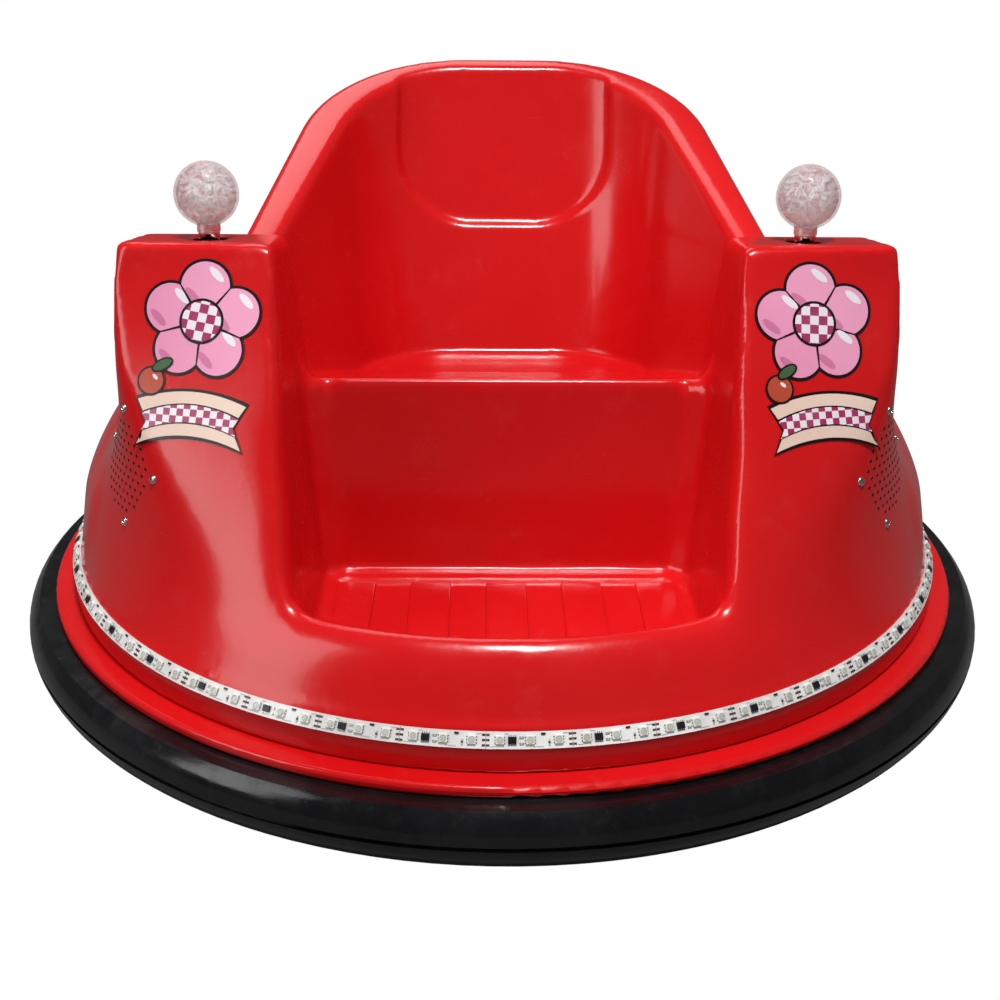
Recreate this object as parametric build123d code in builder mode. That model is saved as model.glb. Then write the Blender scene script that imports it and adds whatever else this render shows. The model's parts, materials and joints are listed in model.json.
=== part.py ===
from build123d import *
import os
from math import cos, radians, sin, sqrt, tan

os.makedirs("parts", exist_ok=True)

# Children's bumper car, millimetres. The origin is on the floor under the centre of the round plan,
# the open front faces -Y and +Z is up.

# Moulded body
WALL = 4.0
RIM_R = 322.5
SKIRT_BOTTOM_Z = 40.0
WALL_TOP_Z = 98.7
STRIP_LEAN = 6.5
STRIP_TOP_Z = 108.0
FLANGE_WIDE = 14.5
FLANGE_TOP_Z = 82.5
FLANGE_THICK = 7.5
FLANGE_EDGE_R = 3.0

# Side and rear dome: how far in from the rim and how high each point is, from the light strip up
DOME_POINTS = [
    (STRIP_LEAN, STRIP_TOP_Z),
    (13.5, 155.0),
    (20.5, 172.0),
    (33.5, 194.0),
    (50.5, 214.0),
    (77.5, 228.0),
    (122.5, 234.0),
]
DOME_FRONT_Y = -112.0

# Front sill: how far in from the rim and how high
SILL_CREASE_IN = 22.5
SILL_CREASE_Z = 137.0
SILL_CREST_IN = 36.5
SILL_CREST_Z = 153.0
SILL_CREST_R = 5.0
SILL_WIDE = 11.0
SILL_DRAFT_IN = 5.0

# Pods beside the footwell, right-hand one. Each row is a height, how far forward the front is at its
# inner end, the front's outer corner X and Y, that corner's radius, and the outer rear corner X and Y.
# The two lower rows follow the rim.
POD_SECTIONS = [
    (108.3, 29.5 - RIM_R, RIM_R - 77.6, 86.0 - RIM_R, RIM_R - 6.8, RIM_R - 26.5, -110.0),
    (165.0, 69.0 - RIM_R, RIM_R - 78.7, 124.2 - RIM_R, 240.0, RIM_R - 32.7, -90.0),
    (225.0, -211.5, 256.5, -166.5, 70.0, 261.0, -68.0),
    (352.0, -122.5, 252.0, -119.5, 20.0, 252.5, -46.0),
]
POD_INNER_X = 118.0
POD_EDGE_R = 9.0
POD_EDGE_LEAN = 0.75
POD_EDGE_FLARE = 0.25
POD_REAR_LEAN = 0.2
POD_TOP_Z = 340.0
POD_TOP_Y = -85.0
POD_TOP_SLOPE = 8.0

# Seat back tower, in plan at one height: half width at the front and rear, and the rear corners' radius
TOWER_Z = 345.0
TOWER_FRONT_HALF = 186.9
TOWER_REAR_HALF = 145.6
TOWER_REAR_Y = 218.3
TOWER_CORNER_R = 130.0
TOWER_PAST_FRONT = 30.0
TOWER_TAPER = 8.5
TOWER_FRONT_Y = -70.0
TOWER_BASE_Z = 190.0
RIM_Z = 347.6
RIM_SLOPE = 20.0
RIM_EDGE_R = 8.0

# Footwell
FLOOR_Z = 107.0
FLOOR_EDGE_R = 10.0
CORE_HIGH = 26.0
CORE_WIDER = 40.0
RISER_EDGE_R = 6.0
WELL_HALF = 126.0
WELL_DRAFT = 5.5
RISER_FOOT_Y = -120.0
RISER_TOP_Y = -100.0
RISER_TOP_Z = 248.0
PANEL_DEEP = 8.0
PANEL_FOOT_HALF = 112.0
PANEL_TOP_HALF = 125.0
PANEL_BEVEL = 13.0
# Share of the wall by which the grown pocket starts below the floor
PANEL_DROP = 0.9
STRIP_COUNT = 5
STRIP_PITCH = 52.0
STRIP_WIDE = 28.0
STRIP_HIGH = 2.5
STRIP_START_GAP = 8.0
STRIP_END_GAP = 6.0

# Seat pan from the riser's top edge back, each point Y and Z
PAN_POINTS = [(-30.0, 226.0), (40.0, 205.0), (80.0, 201.0), (240.0, 205.0)]

# Seat space in plan. Each row is a height, the half width at the front, the rear corner X and Y,
# and that corner's radius.
BOWL_SECTIONS = [
    (195.0, 136.0, 95.0, 101.0, 70.0),
    (425.0, 174.0, 104.0, 186.0, 98.0),
]
BOWL_FRONT_Y = -52.0

# Head recess in the seat back
HEAD_HALF = 84.0
HEAD_FOOT_Z = 298.0
HEAD_CORNER_R = 60.0
HEAD_DEEP = 5.0
CUT_TOP_Z = 470.0
CUT_PAST_RIM = 22.5

# Bumper
BUMPER_OUT = 11.5
BUMPER_CENTRE_Z = 56.0
BUMPER_SECTION_R = 24.0
GROOVE_WIDE = 3.0
GROOVE_DEEP = 2.5
GROOVE_Z = 55.0

# Light strip
LED_THICK = 1.2
LED_WIDE = 10.0

# Chassis
PLATE_GAP = 8.5
PLATE_THICK = 3.0
WHEEL_SLOT_LONG = 144.0
WHEEL_SLOT_WIDE = 60.0
BATTERY = (181.0, 167.0, 77.0)
BATTERY_Y = 0.0

# Drive wheels
DRIVE_R = 60.0
DRIVE_X = 205.0
DRIVE_TREAD = 36.0
DRIVE_RIM_R = 42.0
DRIVE_HUB_R = 16.0
DRIVE_DISC = 8.0
DRIVE_RIM_THICK = 5.0
RIM_HOLES = 5
RIM_HOLE_R = 6.0
TYRE_SHOULDER_R = 6.0
DRIVE_SHAFT_R = 6.0
SHAFT_FIT = 0.05
GEARBOX = (44.0, 64.0, 52.0)
GEARBOX_GAP = 12.0
SHAFT_SEAT = 20.0
MOTOR_R = 24.0
MOTOR_LONG = 78.0
BRACKET_THICK = 4.0
BRACKET_FOOT = 34.0

# Casters
CASTER_INSET = 96.0
CASTER_ANGLE = 48.5
CASTER_R = 31.0
CASTER_WIDE = 22.0
CASTER_TRAIL = 20.0
CASTER_PLATE = (60.0, 60.0, 4.0)
CASTER_HEAD_R = 22.0
CASTER_HEAD_HIGH = 7.0
HEAD_FIT = 0.4
CASTER_NUT_R = 8.0
CASTER_NUT_HIGH = 5.0
CASTER_TREAD_R = 4.0
CASTER_PIN_R = 5.0
CASTER_AXLE_R = 4.0
CASTER_SIDE_GAP = 1.5
FORK_THICK = 3.0
FORK_FOOT_R = 9.0

# Levers
LEVER_SHIFT = -4.5
BALL_R = 21.0
BALL_Z = 368.5
BALL_SEAT_Z = 348.8
SPIGOT_R = 4.0
SPIGOT_LONG = 12.0
STEM_R = 7.0
PIVOT_DROP = 36.0
LEVER_SWING = 12.0
SLOT_GAP = 3.5
PIVOT_PIN_R = 3.0
PIVOT_BOSS_R = 9.0
CHEEK_GAP = 3.0
CHEEK_THICK = 4.0
CHEEK_DEEP = 44.0

STRIP_TOP_R = RIM_R - STRIP_LEAN
FLANGE_R = RIM_R + FLANGE_WIDE
BUMPER_CENTRE_R = RIM_R + BUMPER_OUT
CUT_FRONT_Y = -RIM_R - CUT_PAST_RIM
SILL_CREASE_R = RIM_R - SILL_CREASE_IN
SILL_CREST_OUT_R = RIM_R - SILL_CREST_IN
SILL_INSIDE_R = SILL_CREST_OUT_R - SILL_WIDE
SILL_FOOT_R = SILL_INSIDE_R - SILL_DRAFT_IN
PLATE_R = RIM_R - WALL - PLATE_GAP
CASTER_X = (RIM_R - CASTER_INSET) * cos(radians(CASTER_ANGLE))
CASTER_Y = (RIM_R - CASTER_INSET) * sin(radians(CASTER_ANGLE))
POD_INNER_TOP_X = WELL_HALF + (POD_TOP_Z - FLOOR_Z) * tan(radians(WELL_DRAFT))
LEVER_X = (POD_INNER_TOP_X + POD_SECTIONS[-1][5]) / 2 + LEVER_SHIFT
CHEEK_HALF = STEM_R + SLOT_GAP + 1.0
SLOT_HALF_WIDE = STEM_R + SLOT_GAP
SLOT_HALF_LONG = PIVOT_DROP * tan(radians(LEVER_SWING)) + STEM_R / cos(radians(LEVER_SWING)) + SLOT_GAP
GEARBOX_OUT_X = DRIVE_X - DRIVE_TREAD / 2 - GEARBOX_GAP
PLATE_TOP_Z = FLOOR_Z - WALL
PLATE_BOTTOM_Z = PLATE_TOP_Z - PLATE_THICK
RIM_PLANE = Plane(
    origin=(0, 0, RIM_Z),
    x_dir=(1, 0, 0),
    z_dir=(0, -sin(radians(RIM_SLOPE)), cos(radians(RIM_SLOPE))),
)
POD_PLANE = Plane(
    origin=(0, POD_TOP_Y, POD_TOP_Z),
    x_dir=(1, 0, 0),
    z_dir=(0, sin(radians(POD_TOP_SLOPE)), cos(radians(POD_TOP_SLOPE))),
)
POD_ALONG = Plane(
    origin=(0, POD_TOP_Y, POD_TOP_Z),
    x_dir=(1, 0, 0),
    z_dir=(0, -cos(radians(POD_TOP_SLOPE)), sin(radians(POD_TOP_SLOPE))),
)


def dome_form(inset):
    """Side and rear of the body, drawn in by the inset."""
    low_z = SKIRT_BOTTOM_Z - 60
    top_z = DOME_POINTS[-1][1]
    with BuildPart() as form:
        with BuildSketch(Plane.XZ):
            with BuildLine():
                Polyline(
                    [(60, low_z), (RIM_R, low_z), (RIM_R, WALL_TOP_Z)]
                    + [(RIM_R - drawn_in, height) for drawn_in, height in DOME_POINTS]
                    + [(60, top_z)],
                    close=True,
                )
            make_face()
            if inset:
                offset(amount=-inset, kind=Kind.INTERSECTION, mode=Mode.REPLACE)
            with BuildLine():
                Polyline(
                    (0, low_z + 10), (80, low_z + 10), (80, top_z - inset), (0, top_z - inset), close=True
                )
            make_face()
        revolve(axis=Axis.Z)
        split(bisect_by=Plane(origin=(0, DOME_FRONT_Y + inset, 0), z_dir=(0, 1, 0)), keep=Keep.TOP)
    return form.part


def sill_form(inset):
    """Ring of the rim and the front sill, which closes the footwell at the front."""
    with BuildPart() as form:
        with BuildSketch(Plane.XZ) as section:
            with BuildLine():
                Polyline(
                    (SILL_FOOT_R - 12, SKIRT_BOTTOM_Z - 60), (RIM_R, SKIRT_BOTTOM_Z - 60), (RIM_R, WALL_TOP_Z),
                    (STRIP_TOP_R, STRIP_TOP_Z), (SILL_CREASE_R, SILL_CREASE_Z),
                    (SILL_CREST_OUT_R, SILL_CREST_Z), (SILL_INSIDE_R, SILL_CREST_Z), (SILL_FOOT_R, FLOOR_Z),
                    (SILL_FOOT_R - 12, FLOOR_Z - 60), close=True,
                )
            make_face()
            if inset:
                offset(amount=-inset, kind=Kind.INTERSECTION, mode=Mode.REPLACE)
            else:
                fillet(section.vertices().group_by(Axis.Y)[-1], SILL_CREST_R)
        revolve(axis=Axis.Z)
    return form.part


def core_form():
    """Disc and block that back the footwell floor and the riser all over."""
    with BuildPart() as form:
        with BuildSketch(Plane.XY.offset(SKIRT_BOTTOM_Z - 50)):
            Circle(RIM_R - 30)
        extrude(amount=FLOOR_Z + CORE_HIGH - SKIRT_BOTTOM_Z + 50)
        with BuildSketch(Plane.XY.offset(FLOOR_Z - 20)):
            with Locations((0, RISER_FOOT_Y - 10)):
                Rectangle(
                    2 * WELL_HALF + CORE_WIDER, BOWL_FRONT_Y - RISER_FOOT_Y + 10, align=(Align.CENTER, Align.MIN)
                )
        extrude(amount=RISER_TOP_Z - FLOOR_Z + 30)
    return form.part


def pod_form(inset):
    """Right-hand pod with its leaning front, cut to its sloping top."""
    with BuildPart() as form:
        for height, front_y, corner_x, corner_y, corner_r, rear_x, rear_y in POD_SECTIONS:
            with BuildSketch(Plane.XY.offset(height)) as section:
                with BuildLine():
                    Polyline(
                        (POD_INNER_X, rear_y), (POD_INNER_X, front_y), (corner_x, corner_y), (rear_x, rear_y),
                        close=True,
                    )
                make_face()
                fillet(section.vertices().sort_by_distance(Vector(corner_x, corner_y, height))[0], corner_r)
                if inset:
                    offset(amount=-inset, kind=Kind.INTERSECTION, mode=Mode.REPLACE)
        loft()
        split(bisect_by=POD_PLANE.offset(-inset), keep=Keep.BOTTOM)
    return form.part


def pod_edge_form():
    """Right-hand pod's outline from the front and from the side, with its top edges rounded."""
    deep = POD_TOP_Z - SKIRT_BOTTOM_Z
    front_y = POD_SECTIONS[-1][1] - 2
    rear_y = POD_SECTIONS[-1][6] - 4
    front_z = POD_TOP_Z - (front_y - POD_TOP_Y) * tan(radians(POD_TOP_SLOPE))
    rear_z = POD_TOP_Z - (rear_y - POD_TOP_Y) * tan(radians(POD_TOP_SLOPE))
    outer_x = POD_SECTIONS[-1][5]
    with BuildPart() as form:
        with BuildSketch(Plane.YZ) as side_view:
            with BuildLine():
                Polyline(
                    (front_y, front_z), (rear_y, rear_z), (rear_y - POD_REAR_LEAN * deep, rear_z - deep),
                    (front_y - POD_EDGE_LEAN * deep, rear_z - deep), close=True,
                )
            make_face()
            fillet(side_view.vertices().group_by(Axis.Y)[-1], POD_EDGE_R)
            fillet(side_view.vertices().sort_by_distance((rear_y, rear_z))[0], POD_EDGE_R)
        extrude(amount=outer_x + deep)
        with BuildSketch(POD_ALONG) as end_view:
            with BuildLine():
                Polyline(
                    (POD_INNER_TOP_X, 0), (outer_x, 0), (outer_x + POD_EDGE_FLARE * deep, -deep),
                    (POD_INNER_TOP_X - deep * tan(radians(WELL_DRAFT)) - 1, -deep), close=True,
                )
            make_face()
            fillet(end_view.vertices().group_by(Axis.Y)[-1], POD_EDGE_R)
        extrude(amount=deep, both=True, mode=Mode.INTERSECT)
    return form.part


def tower_form(inset):
    """Tapered shell of the seat back, cut to the sloping rim."""
    front_y = TOWER_FRONT_Y - TOWER_PAST_FRONT
    with BuildPart() as form:
        for height in (TOWER_BASE_Z, CUT_TOP_Z):
            drawn_in = (height - TOWER_Z) * tan(radians(TOWER_TAPER)) + inset
            with BuildSketch(Plane.XY.offset(height)) as section:
                with BuildLine():
                    Polyline(
                        (-TOWER_FRONT_HALF, front_y), (TOWER_FRONT_HALF, front_y),
                        (TOWER_REAR_HALF, TOWER_REAR_Y), (-TOWER_REAR_HALF, TOWER_REAR_Y), close=True,
                    )
                make_face()
                fillet(section.vertices().group_by(Axis.Y)[-1], TOWER_CORNER_R)
                offset(amount=-drawn_in, kind=Kind.INTERSECTION, mode=Mode.REPLACE)
        loft(ruled=True)
        split(bisect_by=Plane(origin=(0, TOWER_FRONT_Y + inset, 0), z_dir=(0, 1, 0)), keep=Keep.TOP)
        split(bisect_by=RIM_PLANE.offset(-inset), keep=Keep.BOTTOM)
    return form.part


def hull_form(inset):
    """The body below and in front of the seat back, as a solid, drawn in by the inset."""
    with BuildPart() as pod:
        add(pod_form(inset))
        if not inset:
            add(pod_edge_form(), mode=Mode.INTERSECT)
    with BuildPart() as form:
        add(dome_form(inset))
        add(sill_form(inset))
        add(core_form())
        add(pod.part)
        add(mirror(pod.part, about=Plane.YZ))
    return form.part


def bowl_form(outset):
    """Seat space in plan, widening upwards and towards the rear."""
    with BuildPart() as form:
        for height, front_half, rear_half, rear_y, corner_r in BOWL_SECTIONS:
            with BuildSketch(Plane.XY.offset(height)) as section:
                with BuildLine():
                    Polyline(
                        (-front_half, BOWL_FRONT_Y), (front_half, BOWL_FRONT_Y), (rear_half, rear_y),
                        (-rear_half, rear_y), close=True,
                    )
                make_face()
                fillet(section.vertices().group_by(Axis.Y)[-1], corner_r)
                if outset:
                    offset(amount=outset, kind=Kind.INTERSECTION, mode=Mode.REPLACE)
        loft(ruled=True)
    return form.part


def side_form(outset):
    """Side view of the space for the rider: floor, riser and seat pan."""
    with BuildPart() as form:
        with BuildSketch(Plane.YZ) as section:
            with BuildLine():
                Polyline(
                    [(CUT_FRONT_Y, FLOOR_Z), (RISER_FOOT_Y, FLOOR_Z), (RISER_TOP_Y, RISER_TOP_Z)] + PAN_POINTS
                    + [(PAN_POINTS[-1][0], CUT_TOP_Z), (CUT_FRONT_Y, CUT_TOP_Z)],
                    close=True,
                )
            make_face()
            fillet(section.vertices().sort_by_distance((RISER_TOP_Y, RISER_TOP_Z))[0], RISER_EDGE_R)
            if outset:
                offset(amount=outset, kind=Kind.INTERSECTION, mode=Mode.REPLACE)
        extrude(amount=220, both=True)
    return form.part


def well_form(outset):
    """Gap between the pods, widening upwards."""
    top_half = WELL_HALF + (CUT_TOP_Z - FLOOR_Z) * tan(radians(WELL_DRAFT))
    with BuildPart() as form:
        with BuildSketch(Plane.XZ.offset(-BOWL_FRONT_Y - 12)) as section:
            with BuildLine():
                Polyline(
                    (-WELL_HALF, FLOOR_Z), (WELL_HALF, FLOOR_Z), (top_half, CUT_TOP_Z), (-top_half, CUT_TOP_Z),
                    close=True,
                )
            make_face()
            fillet(section.vertices().group_by(Axis.Y)[0], FLOOR_EDGE_R)
            if outset:
                offset(amount=outset, kind=Kind.INTERSECTION, mode=Mode.REPLACE)
        extrude(amount=BOWL_FRONT_Y + 12 - CUT_FRONT_Y)
    return form.part


def panel_form(outset):
    """Pocket in the riser, with bevelled sides, open at its top edge."""
    slope = (RISER_TOP_Y - RISER_FOOT_Y) / (RISER_TOP_Z - FLOOR_Z)
    flare = (PANEL_TOP_HALF - PANEL_FOOT_HALF) / (RISER_TOP_Z - FLOOR_Z)
    with BuildPart() as form:
        for height in (FLOOR_Z - PANEL_DROP * outset, CUT_TOP_Z):
            y = RISER_FOOT_Y + (height - FLOOR_Z) * slope
            half = PANEL_FOOT_HALF + (height - FLOOR_Z) * flare
            with BuildSketch(Plane.XY.offset(height)):
                with BuildLine():
                    Polyline(
                        (-half - PANEL_BEVEL, y - 20), (half + PANEL_BEVEL, y - 20),
                        (half + PANEL_BEVEL, y - 2), (half, y + PANEL_DEEP), (-half, y + PANEL_DEEP),
                        (-half - PANEL_BEVEL, y - 2), close=True,
                    )
                make_face()
                if outset:
                    offset(amount=outset, kind=Kind.INTERSECTION, mode=Mode.REPLACE)
        loft(ruled=True)
    return form.part


def head_form(outset):
    """Shallow pocket behind the head, in front view a U that is open at the rim."""
    with BuildPart() as form:
        with BuildSketch(Plane.XZ.offset(-PAN_POINTS[0][0] - 120)):
            with Locations((0, (HEAD_FOOT_Z + CUT_TOP_Z) / 2)):
                RectangleRounded(2 * HEAD_HALF, CUT_TOP_Z - HEAD_FOOT_Z, HEAD_CORNER_R)
            with Locations((0, CUT_TOP_Z - 40)):
                Rectangle(2 * HEAD_HALF, 80)
            if outset:
                offset(amount=outset, kind=Kind.INTERSECTION, mode=Mode.REPLACE)
        extrude(amount=-130)
        add(bowl_form(HEAD_DEEP + outset), mode=Mode.INTERSECT)
    return form.part


def cavity_form(outset):
    """All of the space for the rider, grown by the outset."""
    with BuildPart() as form:
        add(well_form(outset))
        add(bowl_form(outset))
        add(side_form(outset), mode=Mode.INTERSECT)
        add(panel_form(outset))
        add(head_form(outset))
        add(sill_form(outset), mode=Mode.SUBTRACT)
    return form.part


# Seat back with both edges of its rim rounded
with BuildPart() as back:
    add(tower_form(0))
    add(bowl_form(0), mode=Mode.SUBTRACT)
    rim_faces = back.faces().filter_by(lambda face: face.normal_at().dot(RIM_PLANE.z_dir) > 0.9999)
    fillet(rim_faces.edges().filter_by(lambda edge: (edge @ 0.5).Y > BOWL_FRONT_Y + 1), RIM_EDGE_R)

# Body shell and seat tub
with BuildPart() as inner:
    add(hull_form(WALL))
    add(tower_form(WALL))

with BuildPart() as body:
    add(hull_form(0))
    add(back.part)
    add(cavity_form(0), mode=Mode.SUBTRACT)
    split(bisect_by=Plane.XY.offset(FLANGE_TOP_Z), keep=Keep.TOP)

with BuildPart() as body_shell:
    add(body.part)
    add(inner.part, mode=Mode.SUBTRACT)
    for side in (-1, 1):
        with BuildSketch(POD_PLANE.offset(10)):
            with Locations((side * LEVER_X, 0)):
                SlotOverall(2 * SLOT_HALF_LONG, 2 * SLOT_HALF_WIDE, rotation=90)
        extrude(amount=-24, mode=Mode.SUBTRACT)
body_shell.part.label = "body_shell"

with BuildPart() as seat_tub:
    add(body.part)
    add(inner.part, mode=Mode.INTERSECT)
    add(cavity_form(WALL), mode=Mode.INTERSECT)
    with BuildSketch(Plane.XY.offset(FLOOR_Z - 2 * WALL)):
        Circle(SILL_CREST_OUT_R)
    extrude(amount=CUT_TOP_Z - FLOOR_Z, mode=Mode.INTERSECT)
    with BuildSketch(Plane.XY.offset(FLOOR_Z)):
        with Locations((0, (CUT_FRONT_Y + RISER_FOOT_Y) / 2 - STRIP_START_GAP)):
            with GridLocations(STRIP_PITCH, 0, STRIP_COUNT, 1):
                Rectangle(STRIP_WIDE, RISER_FOOT_Y - CUT_FRONT_Y)
        with Locations((0, 0)):
            Circle(SILL_FOOT_R - STRIP_END_GAP, mode=Mode.INTERSECT)
    extrude(amount=STRIP_HIGH)
seat_tub.part.label = "seat_tub"

# Skirt with the flange that covers the bumper
with BuildPart() as skirt_ring:
    with BuildSketch(Plane.XZ) as section:
        with Locations((RIM_R - WALL, FLANGE_TOP_Z)):
            Rectangle(WALL, FLANGE_TOP_Z - SKIRT_BOTTOM_Z, align=(Align.MIN, Align.MAX))
            Rectangle(WALL + FLANGE_WIDE, FLANGE_THICK, align=(Align.MIN, Align.MAX))
        fillet(section.vertices().group_by(Axis.X)[-1], FLANGE_EDGE_R)
    revolve(axis=Axis.Z)
skirt_ring.part.label = "skirt_ring"

# Bumper and light strip
with BuildPart() as bumper_ring:
    with BuildSketch(Plane.XZ):
        with Locations((BUMPER_CENTRE_R, BUMPER_CENTRE_Z)):
            Circle(BUMPER_SECTION_R)
        with Locations((RIM_R, FLANGE_TOP_Z - FLANGE_THICK)):
            Rectangle(100, 100, align=(Align.MIN, Align.MAX), mode=Mode.INTERSECT)
        with Locations((BUMPER_CENTRE_R + BUMPER_SECTION_R, GROOVE_Z)):
            Rectangle(2 * GROOVE_DEEP, GROOVE_WIDE, mode=Mode.SUBTRACT)
    revolve(axis=Axis.Z)
bumper_ring.part.label = "bumper_ring"

strip_plane = Plane(
    origin=((RIM_R + STRIP_TOP_R) / 2, 0, (WALL_TOP_Z + STRIP_TOP_Z) / 2),
    x_dir=(STRIP_TOP_R - RIM_R, 0, STRIP_TOP_Z - WALL_TOP_Z),
    z_dir=(0, -1, 0),
)
with BuildPart() as led_strip:
    with BuildSketch(strip_plane):
        Rectangle(LED_WIDE, LED_THICK, align=(Align.CENTER, Align.MAX))
    revolve(axis=Axis.Z)
led_strip.part.label = "led_strip"

# Chassis
with BuildPart() as chassis_plate:
    with BuildSketch(Plane.XY.offset(PLATE_BOTTOM_Z)):
        Circle(PLATE_R)
        with GridLocations(2 * DRIVE_X, 0, 2, 1):
            RectangleRounded(WHEEL_SLOT_WIDE, WHEEL_SLOT_LONG, 6, mode=Mode.SUBTRACT)
        with GridLocations(2 * CASTER_X, 2 * CASTER_Y, 2, 2):
            Circle(CASTER_NUT_R + 3, mode=Mode.SUBTRACT)
    extrude(amount=PLATE_THICK)
chassis_plate.part.label = "chassis_plate"

with BuildPart() as battery:
    with Locations((0, BATTERY_Y, PLATE_TOP_Z)):
        Box(*BATTERY, align=(Align.CENTER, Align.CENTER, Align.MIN))
battery.part.label = "battery"


def drive_bracket(side):
    """Angle under the plate, with its cheek between the gearbox and the wheel."""
    cheek_x = side * (GEARBOX_OUT_X + BRACKET_THICK / 2)
    with BuildPart() as bracket:
        with Locations((cheek_x, 0, PLATE_BOTTOM_Z)):
            Box(BRACKET_THICK, GEARBOX[1], PLATE_BOTTOM_Z - DRIVE_R + GEARBOX[2] / 2,
                align=(Align.CENTER, Align.CENTER, Align.MAX))
        with Locations((side * (GEARBOX_OUT_X + BRACKET_THICK), 0, PLATE_BOTTOM_Z)):
            Box(BRACKET_FOOT, GEARBOX[1], BRACKET_THICK,
                align=(Align.MAX if side > 0 else Align.MIN, Align.CENTER, Align.MAX))
        with BuildSketch(Plane.YZ.offset(cheek_x)):
            with Locations((0, DRIVE_R)):
                Circle(DRIVE_SHAFT_R + 2)
        extrude(amount=BRACKET_THICK, both=True, mode=Mode.SUBTRACT)
    return bracket.part


def drive_motor(side):
    """Gearbox with the motor can on its inner end."""
    with BuildPart() as motor:
        with Locations((side * (GEARBOX_OUT_X - GEARBOX[0] / 2), 0, DRIVE_R)):
            Box(*GEARBOX)
        fillet(motor.edges().filter_by(Axis.X), 8)
        with BuildSketch(Plane.YZ.offset(side * (GEARBOX_OUT_X - GEARBOX[0] - MOTOR_LONG))):
            with Locations((0, DRIVE_R)):
                Circle(MOTOR_R)
        extrude(amount=side * MOTOR_LONG)
        fillet(motor.faces().sort_by(Axis.X)[0 if side > 0 else -1].edges(), 3)
        with BuildSketch(Plane.YZ.offset(side * GEARBOX_OUT_X)):
            with Locations((0, DRIVE_R)):
                Circle(DRIVE_SHAFT_R + SHAFT_FIT)
        extrude(amount=-side * SHAFT_SEAT, mode=Mode.SUBTRACT)
    return motor.part


def drive_rim(side):
    """Dished rim with its hub and the shaft that runs in the gearbox."""
    with BuildPart() as rim:
        with BuildSketch(Plane.XZ):
            with Locations((side * DRIVE_X, DRIVE_R)):
                with Locations((0, DRIVE_RIM_R)):
                    Rectangle(DRIVE_TREAD, DRIVE_RIM_THICK, align=(Align.CENTER, Align.MAX))
                Rectangle(DRIVE_DISC, DRIVE_RIM_R, align=(Align.CENTER, Align.MIN))
                Rectangle(DRIVE_TREAD, DRIVE_HUB_R, align=(Align.CENTER, Align.MIN))
            with Locations((side * (GEARBOX_OUT_X - SHAFT_SEAT + 1), DRIVE_R)):
                Rectangle(DRIVE_X - GEARBOX_OUT_X + SHAFT_SEAT - 1, DRIVE_SHAFT_R,
                          align=(Align.MIN if side > 0 else Align.MAX, Align.MIN))
        revolve(axis=Axis((0, 0, DRIVE_R), (1, 0, 0)))
        with BuildSketch(Plane.YZ.offset(side * DRIVE_X)):
            with Locations((0, DRIVE_R)):
                with PolarLocations((DRIVE_RIM_R - DRIVE_RIM_THICK + DRIVE_HUB_R) / 2, RIM_HOLES):
                    Circle(RIM_HOLE_R)
        extrude(amount=DRIVE_DISC, both=True, mode=Mode.SUBTRACT)
    return rim.part


def drive_tyre(side):
    """Solid tyre with rounded shoulders."""
    with BuildPart() as tyre:
        with BuildSketch(Plane.XZ) as section:
            with Locations((side * DRIVE_X, DRIVE_R + DRIVE_RIM_R)):
                Rectangle(DRIVE_TREAD, DRIVE_R - DRIVE_RIM_R, align=(Align.CENTER, Align.MIN))
            fillet(section.vertices().group_by(Axis.Y)[-1], TYRE_SHOULDER_R)
        revolve(axis=Axis((0, 0, DRIVE_R), (1, 0, 0)))
    return tyre.part


def lever_base(side):
    """Two cheeks, a web and a cross pin under the pod's top."""
    pivot_z = POD_TOP_Z - PIVOT_DROP
    with BuildPart() as base:
        for cheek in (-1, 1):
            cheek_x = side * LEVER_X + cheek * (CHEEK_HALF + CHEEK_THICK / 2)
            with Locations((cheek_x, POD_TOP_Y, pivot_z - PIVOT_BOSS_R)):
                Box(CHEEK_THICK, CHEEK_DEEP, 2 * PIVOT_DROP, align=(Align.CENTER, Align.CENTER, Align.MIN))
        with Locations((side * LEVER_X, POD_TOP_Y + CHEEK_DEEP / 2, pivot_z - PIVOT_BOSS_R)):
            Box(2 * CHEEK_HALF + 2 * CHEEK_THICK, CHEEK_THICK, 2 * PIVOT_DROP,
                align=(Align.CENTER, Align.MAX, Align.MIN))
        with BuildSketch(Plane.YZ.offset(side * LEVER_X)):
            with Locations((POD_TOP_Y, pivot_z)):
                Circle(PIVOT_PIN_R)
        extrude(amount=CHEEK_HALF + CHEEK_THICK / 2, both=True)
        split(bisect_by=POD_PLANE.offset(-WALL), keep=Keep.BOTTOM)
    return base.part


def lever_stem(side):
    """Chromed stem with its pivot boss, and a spigot for the ball."""
    pivot_z = POD_TOP_Z - PIVOT_DROP
    with BuildPart() as stem:
        with BuildSketch(Plane.XY.offset(pivot_z)):
            with Locations((side * LEVER_X, POD_TOP_Y)):
                Circle(STEM_R)
        extrude(amount=BALL_SEAT_Z - pivot_z)
        with BuildSketch(Plane.XY.offset(BALL_SEAT_Z)):
            with Locations((side * LEVER_X, POD_TOP_Y)):
                Circle(SPIGOT_R)
        extrude(amount=SPIGOT_LONG)
        with BuildSketch(Plane.YZ.offset(side * LEVER_X)):
            with Locations((POD_TOP_Y, pivot_z)):
                Circle(PIVOT_BOSS_R)
        extrude(amount=CHEEK_HALF - CHEEK_GAP, both=True)
        with BuildSketch(Plane.YZ.offset(side * LEVER_X)):
            with Locations((POD_TOP_Y, pivot_z)):
                Circle(PIVOT_PIN_R + SHAFT_FIT)
        extrude(amount=CHEEK_HALF, both=True, mode=Mode.SUBTRACT)
    return stem.part


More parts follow.
